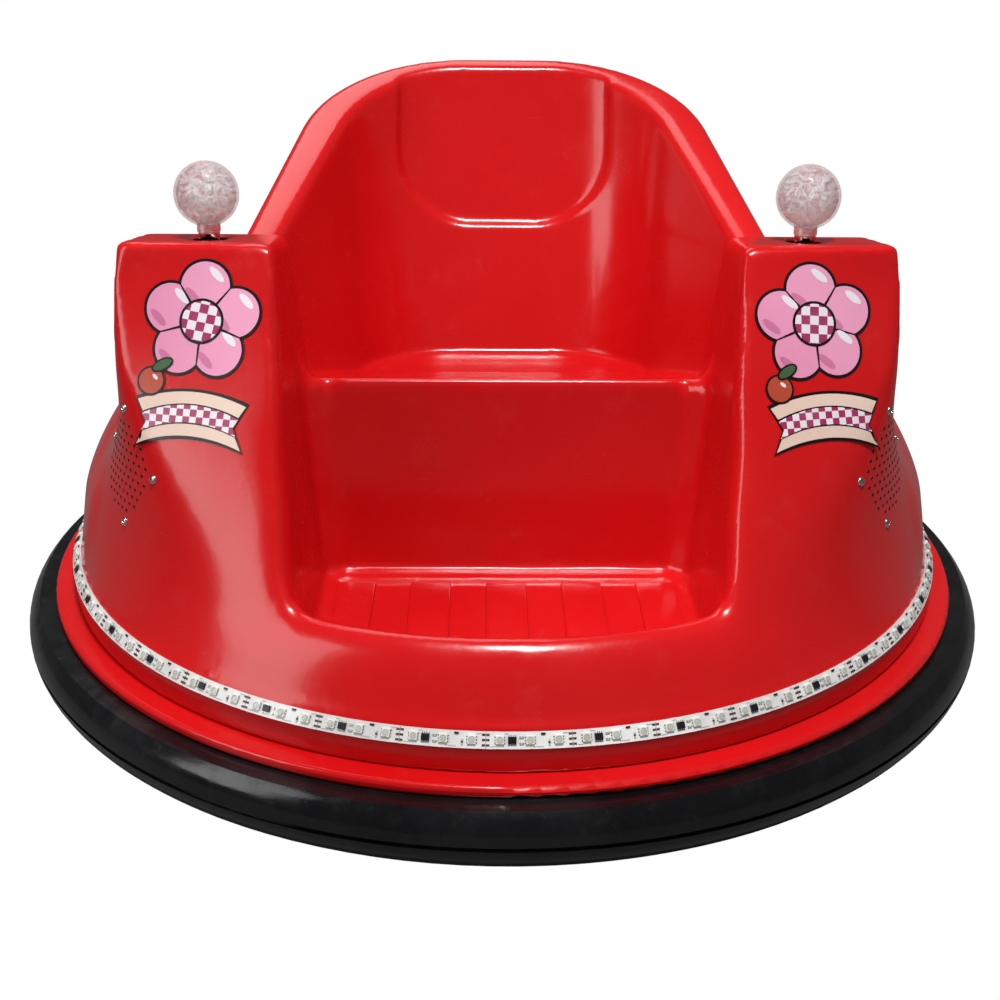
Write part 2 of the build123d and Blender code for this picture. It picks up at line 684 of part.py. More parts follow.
def lever_ball(side):
    """Clear ball, flattened where it seats on the stem."""
    with BuildPart() as ball:
        with Locations((side * LEVER_X, POD_TOP_Y, BALL_Z)):
            Sphere(BALL_R)
        split(bisect_by=Plane.XY.offset(BALL_SEAT_Z), keep=Keep.TOP)
        with BuildSketch(Plane.XY.offset(BALL_SEAT_Z)):
            with Locations((side * LEVER_X, POD_TOP_Y)):
                Circle(SPIGOT_R)
        extrude(amount=SPIGOT_LONG, mode=Mode.SUBTRACT)
    return ball.part


def caster_plate(x, y):
    """Square plate bolted under the chassis plate, with the kingpin's bore."""
    with BuildPart() as plate:
        with BuildSketch(Plane.XY.offset(PLATE_BOTTOM_Z)):
            with Locations((x, y)):
                RectangleRounded(CASTER_PLATE[0], CASTER_PLATE[1], 5)
                Circle(CASTER_PIN_R + SHAFT_FIT, mode=Mode.SUBTRACT)
        extrude(amount=-CASTER_PLATE[2])
    return plate.part


def caster_fork(x, y):
    """Trailing fork with its swivel head, kingpin and axle."""
    head_z = PLATE_BOTTOM_Z - CASTER_PLATE[2] - HEAD_FIT
    leg_x = CASTER_WIDE / 2 + CASTER_SIDE_GAP
    with BuildPart() as fork:
        with BuildSketch(Plane.XY.offset(head_z)):
            with Locations((x, y)):
                Circle(CASTER_HEAD_R)
        extrude(amount=-CASTER_HEAD_HIGH)
        for edge in (-1, 1):
            with BuildSketch(Plane.YZ.offset(x + edge * leg_x)):
                with BuildLine():
                    Polyline(
                        (y - CASTER_HEAD_R * 0.6, head_z - 1), (y + CASTER_HEAD_R * 0.6, head_z - 1),
                        (y + CASTER_TRAIL + FORK_FOOT_R, CASTER_R), (y + CASTER_TRAIL - FORK_FOOT_R, CASTER_R),
                        close=True,
                    )
                make_face()
                with Locations((y + CASTER_TRAIL, CASTER_R)):
                    Circle(FORK_FOOT_R)
            extrude(amount=edge * FORK_THICK)
        with BuildSketch(Plane.YZ.offset(x)):
            with Locations((y + CASTER_TRAIL, CASTER_R)):
                Circle(CASTER_AXLE_R)
        extrude(amount=leg_x + FORK_THICK + 2, both=True)
        with BuildSketch(Plane.XY.offset(head_z)):
            with Locations((x, y)):
                Circle(CASTER_PIN_R)
        extrude(amount=PLATE_BOTTOM_Z - head_z + HEAD_FIT)
        with BuildSketch(Plane.XY.offset(PLATE_BOTTOM_Z + HEAD_FIT)):
            with Locations((x, y)):
                RegularPolygon(CASTER_NUT_R, 6)
        extrude(amount=CASTER_NUT_HIGH)
    return fork.part


def caster_wheel(x, y):
    """Wheel with a bored hub and rounded tread."""
    with BuildPart() as wheel:
        with BuildSketch(Plane.YZ.offset(x)):
            with Locations((y + CASTER_TRAIL, CASTER_R)):
                Circle(CASTER_R)
                Circle(CASTER_AXLE_R + SHAFT_FIT, mode=Mode.SUBTRACT)
        extrude(amount=CASTER_WIDE / 2, both=True)
        fillet(wheel.edges().filter_by(GeomType.CIRCLE).sort_by(SortBy.RADIUS)[-2:], CASTER_TREAD_R)
    return wheel.part


export_step(body_shell.part, "parts/body_shell.step")
export_step(seat_tub.part, "parts/seat_tub.step")
export_step(skirt_ring.part, "parts/skirt_ring.step")
export_step(bumper_ring.part, "parts/bumper_ring.step")
export_step(led_strip.part, "parts/led_strip.step")
export_step(chassis_plate.part, "parts/chassis_plate.step")
export_step(battery.part, "parts/battery.step")

# What is built once for each side
SIDE_PIECES = {
    "drive_bracket": drive_bracket,
    "drive_motor": drive_motor,
    "drive_rim": drive_rim,
    "drive_tyre": drive_tyre,
    "lever_base": lever_base,
    "lever_stem": lever_stem,
    "lever_ball": lever_ball,
}
for side_name, side in (("left", -1), ("right", 1)):
    for piece_name, make_piece in SIDE_PIECES.items():
        piece = make_piece(side)
        piece.label = f"{piece_name}_{side_name}"
        export_step(piece, f"parts/{piece_name}_{side_name}.step")

# What is built once for each caster
CASTER_PIECES = {
    "caster_plate": caster_plate,
    "caster_fork": caster_fork,
    "caster_wheel": caster_wheel,
}
CASTER_PLACES = {
    "front_left": (-CASTER_X, -CASTER_Y),
    "front_right": (CASTER_X, -CASTER_Y),
    "rear_left": (-CASTER_X, CASTER_Y),
    "rear_right": (CASTER_X, CASTER_Y),
}
for place_name, (x, y) in CASTER_PLACES.items():
    for piece_name, make_piece in CASTER_PIECES.items():
        piece = make_piece(x, y)
        piece.label = f"{piece_name}_{place_name}"
        export_step(piece, f"parts/{piece_name}_{place_name}.step")
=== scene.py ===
import json
import math
import random
from itertools import product

import bmesh
import bpy
import numpy as np
from mathutils import Matrix, Vector, noise
from mathutils.bvhtree import BVHTree
from mathutils.geometry import delaunay_2d_cdt


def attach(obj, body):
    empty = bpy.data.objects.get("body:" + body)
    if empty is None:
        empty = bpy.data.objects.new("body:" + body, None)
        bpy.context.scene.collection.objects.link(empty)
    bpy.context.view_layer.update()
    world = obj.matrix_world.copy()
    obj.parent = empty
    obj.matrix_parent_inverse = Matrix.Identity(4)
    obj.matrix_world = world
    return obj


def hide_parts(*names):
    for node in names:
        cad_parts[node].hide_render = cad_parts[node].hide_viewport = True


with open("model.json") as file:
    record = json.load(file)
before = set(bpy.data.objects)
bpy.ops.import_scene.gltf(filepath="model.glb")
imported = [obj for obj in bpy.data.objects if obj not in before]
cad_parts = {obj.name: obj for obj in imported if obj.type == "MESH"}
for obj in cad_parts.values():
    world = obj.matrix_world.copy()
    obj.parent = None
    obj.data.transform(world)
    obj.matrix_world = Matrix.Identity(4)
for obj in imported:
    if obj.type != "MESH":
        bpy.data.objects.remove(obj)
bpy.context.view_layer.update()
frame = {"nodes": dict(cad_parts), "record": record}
NODES = frame["nodes"]
RNG = random.Random(7)
MM = 0.001
SIDES = ((-1, "left"), (1, "right"))

# ---------------- camera
CAM_PLACE = (0.0, -1.029, 0.5647)
CAM_PITCH = 0.412
CAM_ROLL = 0.009
CAM_YAW = -0.0165
CAM_LENS = 52.2
CAM_SHIFT_X = -0.0035

cam_data = bpy.data.cameras.new("camera")
cam_data.sensor_width = 36.0
cam_data.lens = CAM_LENS
cam_data.shift_x = CAM_SHIFT_X
cam = bpy.data.objects.new("camera", cam_data)
bpy.context.scene.collection.objects.link(cam)
CAM_MATRIX = (
    Matrix.Rotation(CAM_YAW, 4, "Z")
    @ Matrix.Translation(CAM_PLACE)
    @ Matrix.Rotation(math.pi / 2 - CAM_PITCH, 4, "X")
    @ Matrix.Rotation(CAM_ROLL, 4, "Z")
)
cam.matrix_world = CAM_MATRIX
bpy.context.scene.camera = cam
bpy.context.scene.view_settings.view_transform = "Standard"


# ---------------- material helpers
class Shade:
    """A node material under construction."""

    def __init__(self, name):
        self.mat = bpy.data.materials.new(name)
        self.mat.use_nodes = True
        self.nodes = self.mat.node_tree.nodes
        self.links = self.mat.node_tree.links
        self.bsdf = self.nodes["Principled BSDF"]
        self.coord = self.nodes.new("ShaderNodeTexCoord")

    def put(self, socket, value):
        if hasattr(value, "is_linked") or hasattr(value, "links"):
            self.links.new(value, socket)
        else:
            socket.default_value = value

    def set(self, **values):
        for key, value in values.items():
            self.put(self.bsdf.inputs[key.replace("_", " ")], value)

    def noise(self, scale, detail=4.0, rough=0.55, stretch=None, distort=0.0):
        node = self.nodes.new("ShaderNodeTexNoise")
        node.inputs["Scale"].default_value = scale
        node.inputs["Detail"].default_value = detail
        node.inputs["Roughness"].default_value = rough
        node.inputs["Distortion"].default_value = distort
        source = self.coord.outputs["Object"]
        if stretch:
            mapping = self.nodes.new("ShaderNodeMapping")
            mapping.inputs["Scale"].default_value = stretch
            self.links.new(source, mapping.inputs["Vector"])
            source = mapping.outputs["Vector"]
        self.links.new(source, node.inputs["Vector"])
        return node.outputs["Fac"]

    def voronoi(self, scale, feature):
        node = self.nodes.new("ShaderNodeTexVoronoi")
        node.feature = feature
        node.inputs["Scale"].default_value = scale
        self.links.new(self.coord.outputs["Object"], node.inputs["Vector"])
        return node.outputs["Distance"]

    def math(self, op, a, b):
        node = self.nodes.new("ShaderNodeMath")
        node.operation = op
        for socket, value in zip(node.inputs, (a, b)):
            self.put(socket, value)
        return node.outputs[0]

    def ramp(self, value, low, high, out_low=0.0, out_high=1.0):
        node = self.nodes.new("ShaderNodeMapRange")
        node.interpolation_type = "SMOOTHSTEP"
        self.put(node.inputs["Value"], value)
        for key, number in (("From Min", low), ("From Max", high), ("To Min", out_low), ("To Max", out_high)):
            node.inputs[key].default_value = number
        return node.outputs["Result"]

    def mix(self, factor, a, b):
        node = self.nodes.new("ShaderNodeMix")
        node.data_type = "RGBA"
        self.put(node.inputs[0], factor)
        for socket, value in ((node.inputs[6], a), (node.inputs[7], b)):
            self.put(socket, (*value, 1.0) if isinstance(value, tuple) and len(value) == 3 else value)
        return node.outputs[2]

    def xyz(self, output="Object"):
        node = self.nodes.new("ShaderNodeSeparateXYZ")
        self.links.new(self.coord.outputs[output], node.inputs[0])
        return node.outputs

    def bump(self, height, strength=0.2, distance=0.001, normal=None):
        node = self.nodes.new("ShaderNodeBump")
        node.inputs["Strength"].default_value = strength
        node.inputs["Distance"].default_value = distance
        self.put(node.inputs["Height"], height)
        if normal is not None:
            self.links.new(normal, node.inputs["Normal"])
        return node.outputs["Normal"]


def red_gelcoat(name):
    s = Shade(name)
    cloud = s.noise(3.2, 3.0, 0.5)
    fine = s.noise(420.0, 3.0, 0.6)
    dust = s.ramp(s.noise(38.0, 8.0, 0.72), 0.52, 0.80)
    colour = s.mix(s.ramp(cloud, 0.35, 0.7), (0.58, 0.0045, 0.0060), (0.66, 0.0075, 0.0095))
    colour = s.mix(s.math("MULTIPLY", dust, 0.06), colour, (0.66, 0.12, 0.11))
    rough = s.ramp(s.noise(11.0, 5.0, 0.6), 0.3, 0.75, 0.16, 0.27)
    rough = s.math("ADD", rough, s.math("MULTIPLY", dust, 0.10))
    scratch = s.noise(60.0, 2.0, 0.5, stretch=(1.0, 1.0, 22.0))
    rough = s.math("ADD", rough, s.ramp(scratch, 0.66, 0.8, 0.0, 0.08))
    wave = s.noise(9.0, 1.5, 0.4)
    peel = s.noise(260.0, 1.0, 0.4)
    normal = s.bump(wave, 0.35, 0.004)
    normal = s.bump(peel, 0.10, 0.0006, normal)
    normal = s.bump(fine, 0.05, 0.0003, normal)
    s.set(Base_Color=colour, Roughness=rough, Normal=normal, Specular_IOR_Level=0.40, Coat_Weight=0.15,
          Coat_Roughness=0.05)
    return s.mat


def rubber(name, colour, shine):
    s = Shade(name)
    grain = s.noise(900.0, 3.0, 0.6)
    blotch = s.noise(14.0, 6.0, 0.65)
    dust = s.ramp(s.noise(70.0, 8.0, 0.75), 0.50, 0.78)
    z = s.xyz()[2]
    low = s.ramp(z, 0.02, 0.075, 1.0, 0.0)
    colour = s.mix(s.ramp(blotch, 0.35, 0.7), colour, tuple(c * 1.7 + 0.002 for c in colour))
    colour = s.mix(s.math("MULTIPLY", dust, s.math("ADD", s.math("MULTIPLY", low, 0.10), 0.04)), colour,
                   (0.16, 0.14, 0.125))
    rough = s.ramp(blotch, 0.3, 0.75, shine - 0.07, shine + 0.12)
    rough = s.math("ADD", rough, s.math("MULTIPLY", dust, 0.22))
    streak = s.noise(26.0, 4.0, 0.6, stretch=(1.0, 1.0, 9.0))
    normal = s.bump(streak, 0.14, 0.0012)
    normal = s.bump(grain, 0.10, 0.0003, normal)
    s.set(Base_Color=colour, Roughness=rough, Normal=normal, Specular_IOR_Level=0.45)
    return s.mat


def metal(name, colour, rough, brushed=(1.0, 1.0, 1.0), wear=0.25, metallic=1.0):
    s = Shade(name)
    lines = s.noise(180.0, 4.0, 0.6, stretch=brushed)
    blotch = s.noise(22.0, 6.0, 0.65)
    spots = s.ramp(s.noise(140.0, 6.0, 0.7), 0.58, 0.8)
    tone = s.mix(s.ramp(blotch, 0.3, 0.75), tuple(c * 0.82 for c in colour), colour)
    tone = s.mix(s.math("MULTIPLY", spots, wear), tone, (0.30, 0.22, 0.16))
    r = s.ramp(lines, 0.3, 0.75, max(0.03, rough - 0.07), rough + 0.09)
    r = s.math("ADD", r, s.math("MULTIPLY", spots, 0.25 * wear))
    s.set(Base_Color=tone, Roughness=r, Normal=s.bump(lines, 0.10, 0.0004), Metallic=metallic)
    return s.mat


def plastic(name, colour, rough=0.45, grain=600.0, depth=0.0003):
    s = Shade(name)
    blotch = s.noise(18.0, 5.0, 0.6)
    dust = s.ramp(s.noise(90.0, 8.0, 0.75), 0.5, 0.8)
    tone = s.mix(s.ramp(blotch, 0.3, 0.75), tuple(c * 0.8 for c in colour),
                 tuple(min(1.0, c * 1.12) for c in colour))
    tone = s.mix(s.math("MULTIPLY", dust, 0.22), tone, (0.24, 0.22, 0.20))
    r = s.ramp(blotch, 0.3, 0.75, rough - 0.08, rough + 0.12)
    s.set(Base_Color=tone, Roughness=r, Normal=s.bump(s.noise(grain, 3.0, 0.6), 0.25, depth))
    return s.mat


def clear_acrylic(name):
    """Clear shell that lets light through to what is inside it."""
    s = Shade(name)
    blotch = s.noise(40.0, 2.0, 0.5)
    s.set(Base_Color=s.mix(blotch, (0.95, 0.94, 0.94), (0.99, 0.985, 0.98)),
          Roughness=s.ramp(blotch, 0.3, 0.7, 0.01, 0.04), Normal=s.bump(blotch, 0.05, 0.001), Alpha=0.40,
          Transmission_Weight=1.0, IOR=1.47)
    return s.mat


MAT = {
    "red_gelcoat": red_gelcoat("red_gelcoat_look"),
    "bumper_rubber": rubber("bumper_rubber_look", (0.0036, 0.0036, 0.0044), 0.16),
    "light_strip": plastic("light_strip_look", (0.80, 0.79, 0.77), 0.34, 900.0, 0.0002),
    "chassis_steel": metal("chassis_steel_look", (0.030, 0.030, 0.033), 0.42, wear=0.5, metallic=0.0),
    "battery_case": plastic("battery_case_look", (0.06, 0.065, 0.07), 0.5),
    "motor_steel": metal("motor_steel_look", (0.10, 0.10, 0.11), 0.36, (1.0, 9.0, 9.0), 0.3, 0.6),
    "wheel_plastic": plastic("wheel_plastic_look", (0.13, 0.13, 0.14), 0.42),
    "wheel_rubber": rubber("wheel_rubber_look", (0.018, 0.018, 0.019), 0.52),
    "chrome": metal("chrome_look", (0.83, 0.83, 0.82), 0.12, (1.0, 1.0, 6.0), 0.10),
    "clear_ball": clear_acrylic("clear_ball_look"),
    "zinc_steel": metal("zinc_steel_look", (0.52, 0.53, 0.55), 0.30, (1.0, 1.0, 4.0), 0.25),
    "caster_tread": rubber("caster_tread_look", (0.07, 0.07, 0.075), 0.4),
}
for part in frame["record"]["subparts"]:
    for slot in NODES[part["node"]].material_slots:
        slot.material = MAT[part["material_slot"]]


def add_mesh(name, verts, faces, materials, body, smooth=True):
    mesh = bpy.data.meshes.new(name)
    mesh.from_pydata(verts, [], faces)
    mesh.update()
    obj = bpy.data.objects.new(name, mesh)
    bpy.context.scene.collection.objects.link(obj)
    for mat in materials:
        mesh.materials.append(mat)
    if smooth:
        mesh.shade_smooth()
    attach(obj, body)
    return obj


# ---------------- moulded body as one smooth skin
VOXEL = 0.0018
SKIN_TRIS = 330000
FLOOR_Z = 0.107
LEVER = (0.19597, -0.085)
POD_TOP_Z, POD_BACK_Y, POD_BACK_LEAN, POD_BACK_THICK = 0.335, -0.0505, 0.2, 0.005
POD_BACK_LOW_Z, POD_BACK_STEP = 0.130, 0.004
WELL_HALF, WELL_DRAFT = 0.126, math.radians(5.5)
WHEEL_SLOT = (0.205, 0.034, 0.076)
BOX_WALL, BOX_ROOF_Z, BOX_TOP_Z = 0.006, 0.128, 0.134
CLOSE_LOW, CLOSE_HIGH, CLOSE_R, CLOSE_STRIPS, CLOSE_LAP = 0.1055, 0.1105, 0.3175, 72, 0.0005
TUB_R, TUB_HALF, TUB_LOW_Z = 0.281, 0.166, 0.1025
FIRST_ROUNDS, HEAVY_ROUNDS, POD_ROUNDS, RIM_ROUNDS, LAST_ROUNDS = 3, 190, 420, 30, 14


def tree_of(mesh):
    return BVHTree.FromPolygons([v.co for v in mesh.vertices], [tuple(p.vertices) for p in mesh.polygons])


def box_into(bm, low, high):
    corners = [bm.verts.new((x, y, z))
               for x in (low[0], high[0]) for y in (low[1], high[1]) for z in (low[2], high[2])]
    for ring in ((0, 1, 3, 2), (4, 6, 7, 5), (0, 4, 5, 1), (2, 3, 7, 6), (0, 2, 6, 4), (1, 5, 7, 3)):
        bm.faces.new([corners[i] for i in ring])


def pod_backs(bm):
    """Rear walls of the two pods, which the shell's solid leaves open."""
    tree = tree_of(NODES["body_shell"].data)
    for side, _ in SIDES:
        rows = []
        z = POD_BACK_LOW_Z
        while z < POD_TOP_Z - 0.001:
            y = POD_BACK_Y - POD_BACK_LEAN * (POD_TOP_Z - z)
            hit = tree.ray_cast(Vector((side * 0.36, y - POD_BACK_THICK, z)), Vector((-side, 0, 0)))[0]
            out_x = abs(hit.x) - 0.0006 if hit is not None else 0.25
            in_x = WELL_HALF + (z - FLOOR_Z) * math.tan(WELL_DRAFT) + 0.002
            rows.append([bm.verts.new((side * px, py, z)) for px, py in
                         ((in_x, y), (out_x, y), (out_x, y - POD_BACK_THICK), (in_x, y - POD_BACK_THICK))])
            z += POD_BACK_STEP
        for a, b in zip(rows, rows[1:]):
            for i in range(4):
                bm.faces.new((a[i], a[(i + 1) % 4], b[(i + 1) % 4], b[i]))
        bm.faces.new(rows[0][::-1])
        bm.faces.new(rows[-1])


def skin_source():
    """Copies of the two shells with the hidden bottom closed above the base plate and round the wheels."""
    bm = bmesh.new()
    for node in ("body_shell", "seat_tub"):
        bm.from_mesh(NODES[node].data)
    pod_backs(bm)
    x_mid, half_x, half_y = WHEEL_SLOT
    out_y = half_y + BOX_WALL
    for side, _ in SIDES:
        x0, x1 = sorted((side * (x_mid - half_x), side * (x_mid + half_x)))
        for a, b in (((x0 - BOX_WALL, -out_y), (x0, out_y)),
                     ((x1, -out_y), (x1 + BOX_WALL, out_y)),
                     ((x0 - BOX_WALL, -out_y), (x1 + BOX_WALL, -half_y)),
                     ((x0 - BOX_WALL, half_y), (x1 + BOX_WALL, out_y))):
            box_into(bm, (*a, CLOSE_LOW), (*b, BOX_TOP_Z))
        box_into(bm, (x0 - BOX_WALL, -out_y, BOX_ROOF_Z), (x1 + BOX_WALL, out_y, BOX_TOP_Z))
    for i in range(CLOSE_STRIPS):
        xa = -CLOSE_R + 2 * CLOSE_R * i / CLOSE_STRIPS
        xb = xa + 2 * CLOSE_R / CLOSE_STRIPS
        half = math.sqrt(max(0.0, CLOSE_R ** 2 - max(abs(xa), abs(xb)) ** 2))
        if half < 0.004:
            continue
        beside_wheel = x_mid - half_x < abs((xa + xb) / 2) < x_mid + half_x
        for ya, yb in ((-half, -half_y), (half_y, half)) if beside_wheel else ((-half, half),):
            box_into(bm, (xa - CLOSE_LAP, ya, CLOSE_LOW), (xb + CLOSE_LAP, yb, CLOSE_HIGH))
    mesh = bpy.data.meshes.new("skin_source")
    bm.to_mesh(mesh)
    bm.free()
    return mesh


def with_modifier(mesh, kind, **settings):
    """The mesh after one modifier."""
    obj = bpy.data.objects.new("work", mesh)
    bpy.context.scene.collection.objects.link(obj)
    mod = obj.modifiers.new("work", kind)
    for key, value in settings.items():
        setattr(mod, key, value)
    depsgraph = bpy.context.evaluated_depsgraph_get()
    result = bpy.data.meshes.new_from_object(obj.evaluated_get(depsgraph))
    bpy.data.objects.remove(obj)
    return result


def verts_of(mesh):
    out = np.empty(len(mesh.vertices) * 3)
    mesh.vertices.foreach_get("co", out)
    return out.reshape(-1, 3)


def edges_of(mesh):
    out = np.empty(len(mesh.edges) * 2, dtype=np.int64)
    mesh.edges.foreach_get("vertices", out)
    return out.reshape(-1, 2)


def step(value, low, high):
    t = np.clip((value - low) / (high - low), 0.0, 1.0)
    return t * t * (3 - 2 * t)


def relax(verts, edges, rounds, weight):
    """Moves each vertex towards the mean of its neighbours, by its weight."""
    edges = edges[(weight[edges] > 0.002).any(axis=1)]
    a, b = edges.T
    n = len(verts)
    count = np.bincount(edges.ravel(), minlength=n).astype(float)
    weight = np.where(count > 0, weight, 0.0)
    count = np.maximum(count, 1.0)
    for _ in range(rounds):
        total = np.stack([np.bincount(a, verts[b, k], n) + np.bincount(b, verts[a, k], n)
                          for k in range(3)], 1)
        verts += (total / count[:, None] - verts) * (0.5 * weight)[:, None]
    return verts


def components(n, edges):
    """A label for each vertex, the same within one connected shell."""
    label = np.arange(n)
    a, b = edges.T
    while True:
        low = np.minimum(label[a], label[b])
        new = label.copy()
        np.minimum.at(new, a, low)
        np.minimum.at(new, b, low)
        new = new[new]
        new = new[new]
        if np.array_equal(new, label):
            return label
        label = new


def quads_of(mesh):
    out = np.empty(len(mesh.loops), dtype=np.int64)
    mesh.loops.foreach_get("vertex_index", out)
    return out.reshape(-1, 4)


def quad_mesh(verts, quads):
    """A mesh of quads only, without the vertices that none of them uses."""
    used, quads = np.unique(quads, return_inverse=True)
    quads = quads.reshape(-1, 4)
    mesh = bpy.data.meshes.new("quads")
    mesh.vertices.add(len(used))
    mesh.vertices.foreach_set("co", verts[used].ravel())
    mesh.loops.add(quads.size)
    mesh.loops.foreach_set("vertex_index", quads.ravel().astype(np.int32))
    mesh.polygons.add(len(quads))
    mesh.polygons.foreach_set("loop_start", np.arange(0, quads.size, 4, dtype=np.int32))
    mesh.update(calc_edges=True)
    return mesh


def outside_only(mesh):
    """The outer surface, cut free from the closed space between the shells."""
    verts, quads = verts_of(mesh), quads_of(mesh)
    corner = verts[quads]
    centre = corner.mean(axis=1)
    normal = np.cross(corner[:, 2] - corner[:, 0], corner[:, 3] - corner[:, 1])
    normal /= np.linalg.norm(normal, axis=1)[:, None] + 1e-12
    near_slot = (np.abs(np.abs(centre[:, 0]) - LEVER[0]) < 0.024) & (np.abs(centre[:, 1] - LEVER[1]) < 0.034)
    ceiling = near_slot & (normal[:, 2] < -0.5) & (centre[:, 2] > 0.316)
    quads = quads[~ceiling]
    edges = np.concatenate([quads[:, (0, 1)], quads[:, (1, 2)], quads[:, (2, 3)], quads[:, (3, 0)]])
    label = components(len(verts), edges)
    return quad_mesh(verts, quads[label[quads[:, 0]] == label[np.argmax(verts[:, 2])]])


mesh = outside_only(with_modifier(skin_source(), "REMESH", mode="VOXEL", voxel_size=VOXEL, adaptivity=0.0))
verts, edges = verts_of(mesh), edges_of(mesh)
x, y, z = verts.T
r = np.hypot(x, y)
on_floor = (np.abs(x) < 0.1175) & (r < 0.2625) & (y < -0.1275) & (z > 0.1045) & (z < 0.1112)
verts[on_floor, 2] = FLOOR_Z
relax(verts, edges, FIRST_ROUNDS, np.ones(len(verts)))
x, y, z = verts.T
r = np.hypot(x, y)
keep_low = step(z, 0.106, 0.118)
front = step(-y, 0.085, 0.16)
side = step(np.abs(x), 0.115, 0.135)
band = step(z, 0.112, 0.135) * (1 - step(z, 0.215, 0.262)) * step(r, 0.245, 0.27)
heavy = band * (0.35 + 0.65 * front)
shoulder = step(z, 0.205, 0.222) * (1 - step(z, 0.245, 0.262)) * step(r, 0.178, 0.186)
pod_flank = (step(np.abs(x), 0.15, 0.2) * step(z, 0.14, 0.17) * (1 - step(z, 0.27, 0.31))
             * step(y, -0.14, -0.11) * (1 - step(y, -0.03, 0.0)))
corner = (side * step(z, 0.118, 0.14) * (1 - step(z, 0.17, 0.22)) * step(r, 0.235, 0.26)
          * step(-y, 0.19, 0.215) * (1 - step(np.abs(x), 0.17, 0.2)))
weight = np.clip(np.maximum.reduce([heavy, shoulder, pod_flank, corner]), 0, 1) * keep_low
rounds = 1.0
relax(verts, edges, int(HEAVY_ROUNDS * rounds), weight)
run = verts[edges[:, 0]] - verts[edges[:, 1]]
upright = edges[np.abs(run[:, 2]) > 0.6 * np.linalg.norm(run, axis=1)]
pods = (step(np.abs(x), 0.116, 0.122) * step(z, 0.122, 0.150) * (1 - step(z, 0.300, 0.326))
        * step(-y, 0.055, 0.085))
relax(verts, upright, int(POD_ROUNDS * rounds), pods * keep_low)
middle = 0.5 * (verts[edges[:, 0]] + verts[edges[:, 1]])
run = verts[edges[:, 0]] - verts[edges[:, 1]]
length = np.linalg.norm(run, axis=1) + 1e-9
inward = np.abs((run[:, :2] * middle[:, :2]).sum(axis=1)) / (np.hypot(middle[:, 0], middle[:, 1]) + 1e-9)
round_it = edges[(inward < 0.5 * length) & (np.abs(run[:, 2]) < 0.5 * length)]
r = np.hypot(verts[:, 0], verts[:, 1])
rim_band = step(verts[:, 2], 0.1015, 0.1030) * (1 - step(verts[:, 2], 0.130, 0.150)) * step(r, 0.27, 0.285)
relax(verts, round_it, RIM_ROUNDS, rim_band)
relax(verts, edges, LAST_ROUNDS, 0.25 + 0.75 * keep_low)
mesh.vertices.foreach_set("co", verts.ravel())
mesh.update()
fine = mesh
fine_normals = np.empty(len(fine.vertices) * 3)
fine.vertex_normals.foreach_get("vector", fine_normals)
fine_normals = fine_normals.reshape(-1, 3)
fine_tree = tree_of(fine)
tris_now = sum(len(p.vertices) - 2 for p in fine.polygons)
skin = with_modifier(fine.copy(), "DECIMATE", ratio=min(1.0, SKIN_TRIS / tris_now))


def smooth_normals(mesh):
    """The fine skin's normals at each vertex of a coarser copy."""
    polys = fine.polygons
    out = []
    for v in mesh.vertices:
        place, _, index, _ = fine_tree.find_nearest(v.co)
        corners = list(polys[index].vertices)
        w = [1.0 / max((Vector(verts[i]) - place).length, 1e-6) for i in corners]
        n = Vector((0, 0, 0))
        for i, wi in zip(corners, w):
            n += Vector(fine_normals[i]) * wi
        out.append(n.normalized())
    return out


skin_verts = verts_of(skin)
skin_normals = smooth_normals(skin)
shell_tree = tree_of(NODES["body_shell"].data)
tub_tree = tree_of(NODES["seat_tub"].data)
faces_shell, faces_tub = [], []
for p in skin.polygons:
    c = p.center
    in_tub = (math.hypot(c.x, c.y) < TUB_R and abs(c.x) < TUB_HALF and c.z > TUB_LOW_Z
              and tub_tree.find_nearest(c)[3] < shell_tree.find_nearest(c)[3])
    (faces_tub if in_tub else faces_shell).append(tuple(p.vertices))


def skin_piece(name, faces, node):
    used = sorted({i for f in faces for i in f})
    place = {old: new for new, old in enumerate(used)}
    obj = add_mesh(name, [tuple(skin_verts[i]) for i in used], [tuple(place[i] for i in f) for f in faces],
                   [MAT["red_gelcoat"]], "car")
    obj.data.normals_split_custom_set_from_vertices([skin_normals[i] for i in used])
    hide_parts(node)
    return obj


skin_piece("shell_skin", faces_shell, "body_shell")
skin_piece("tub_skin", faces_tub, "seat_tub")


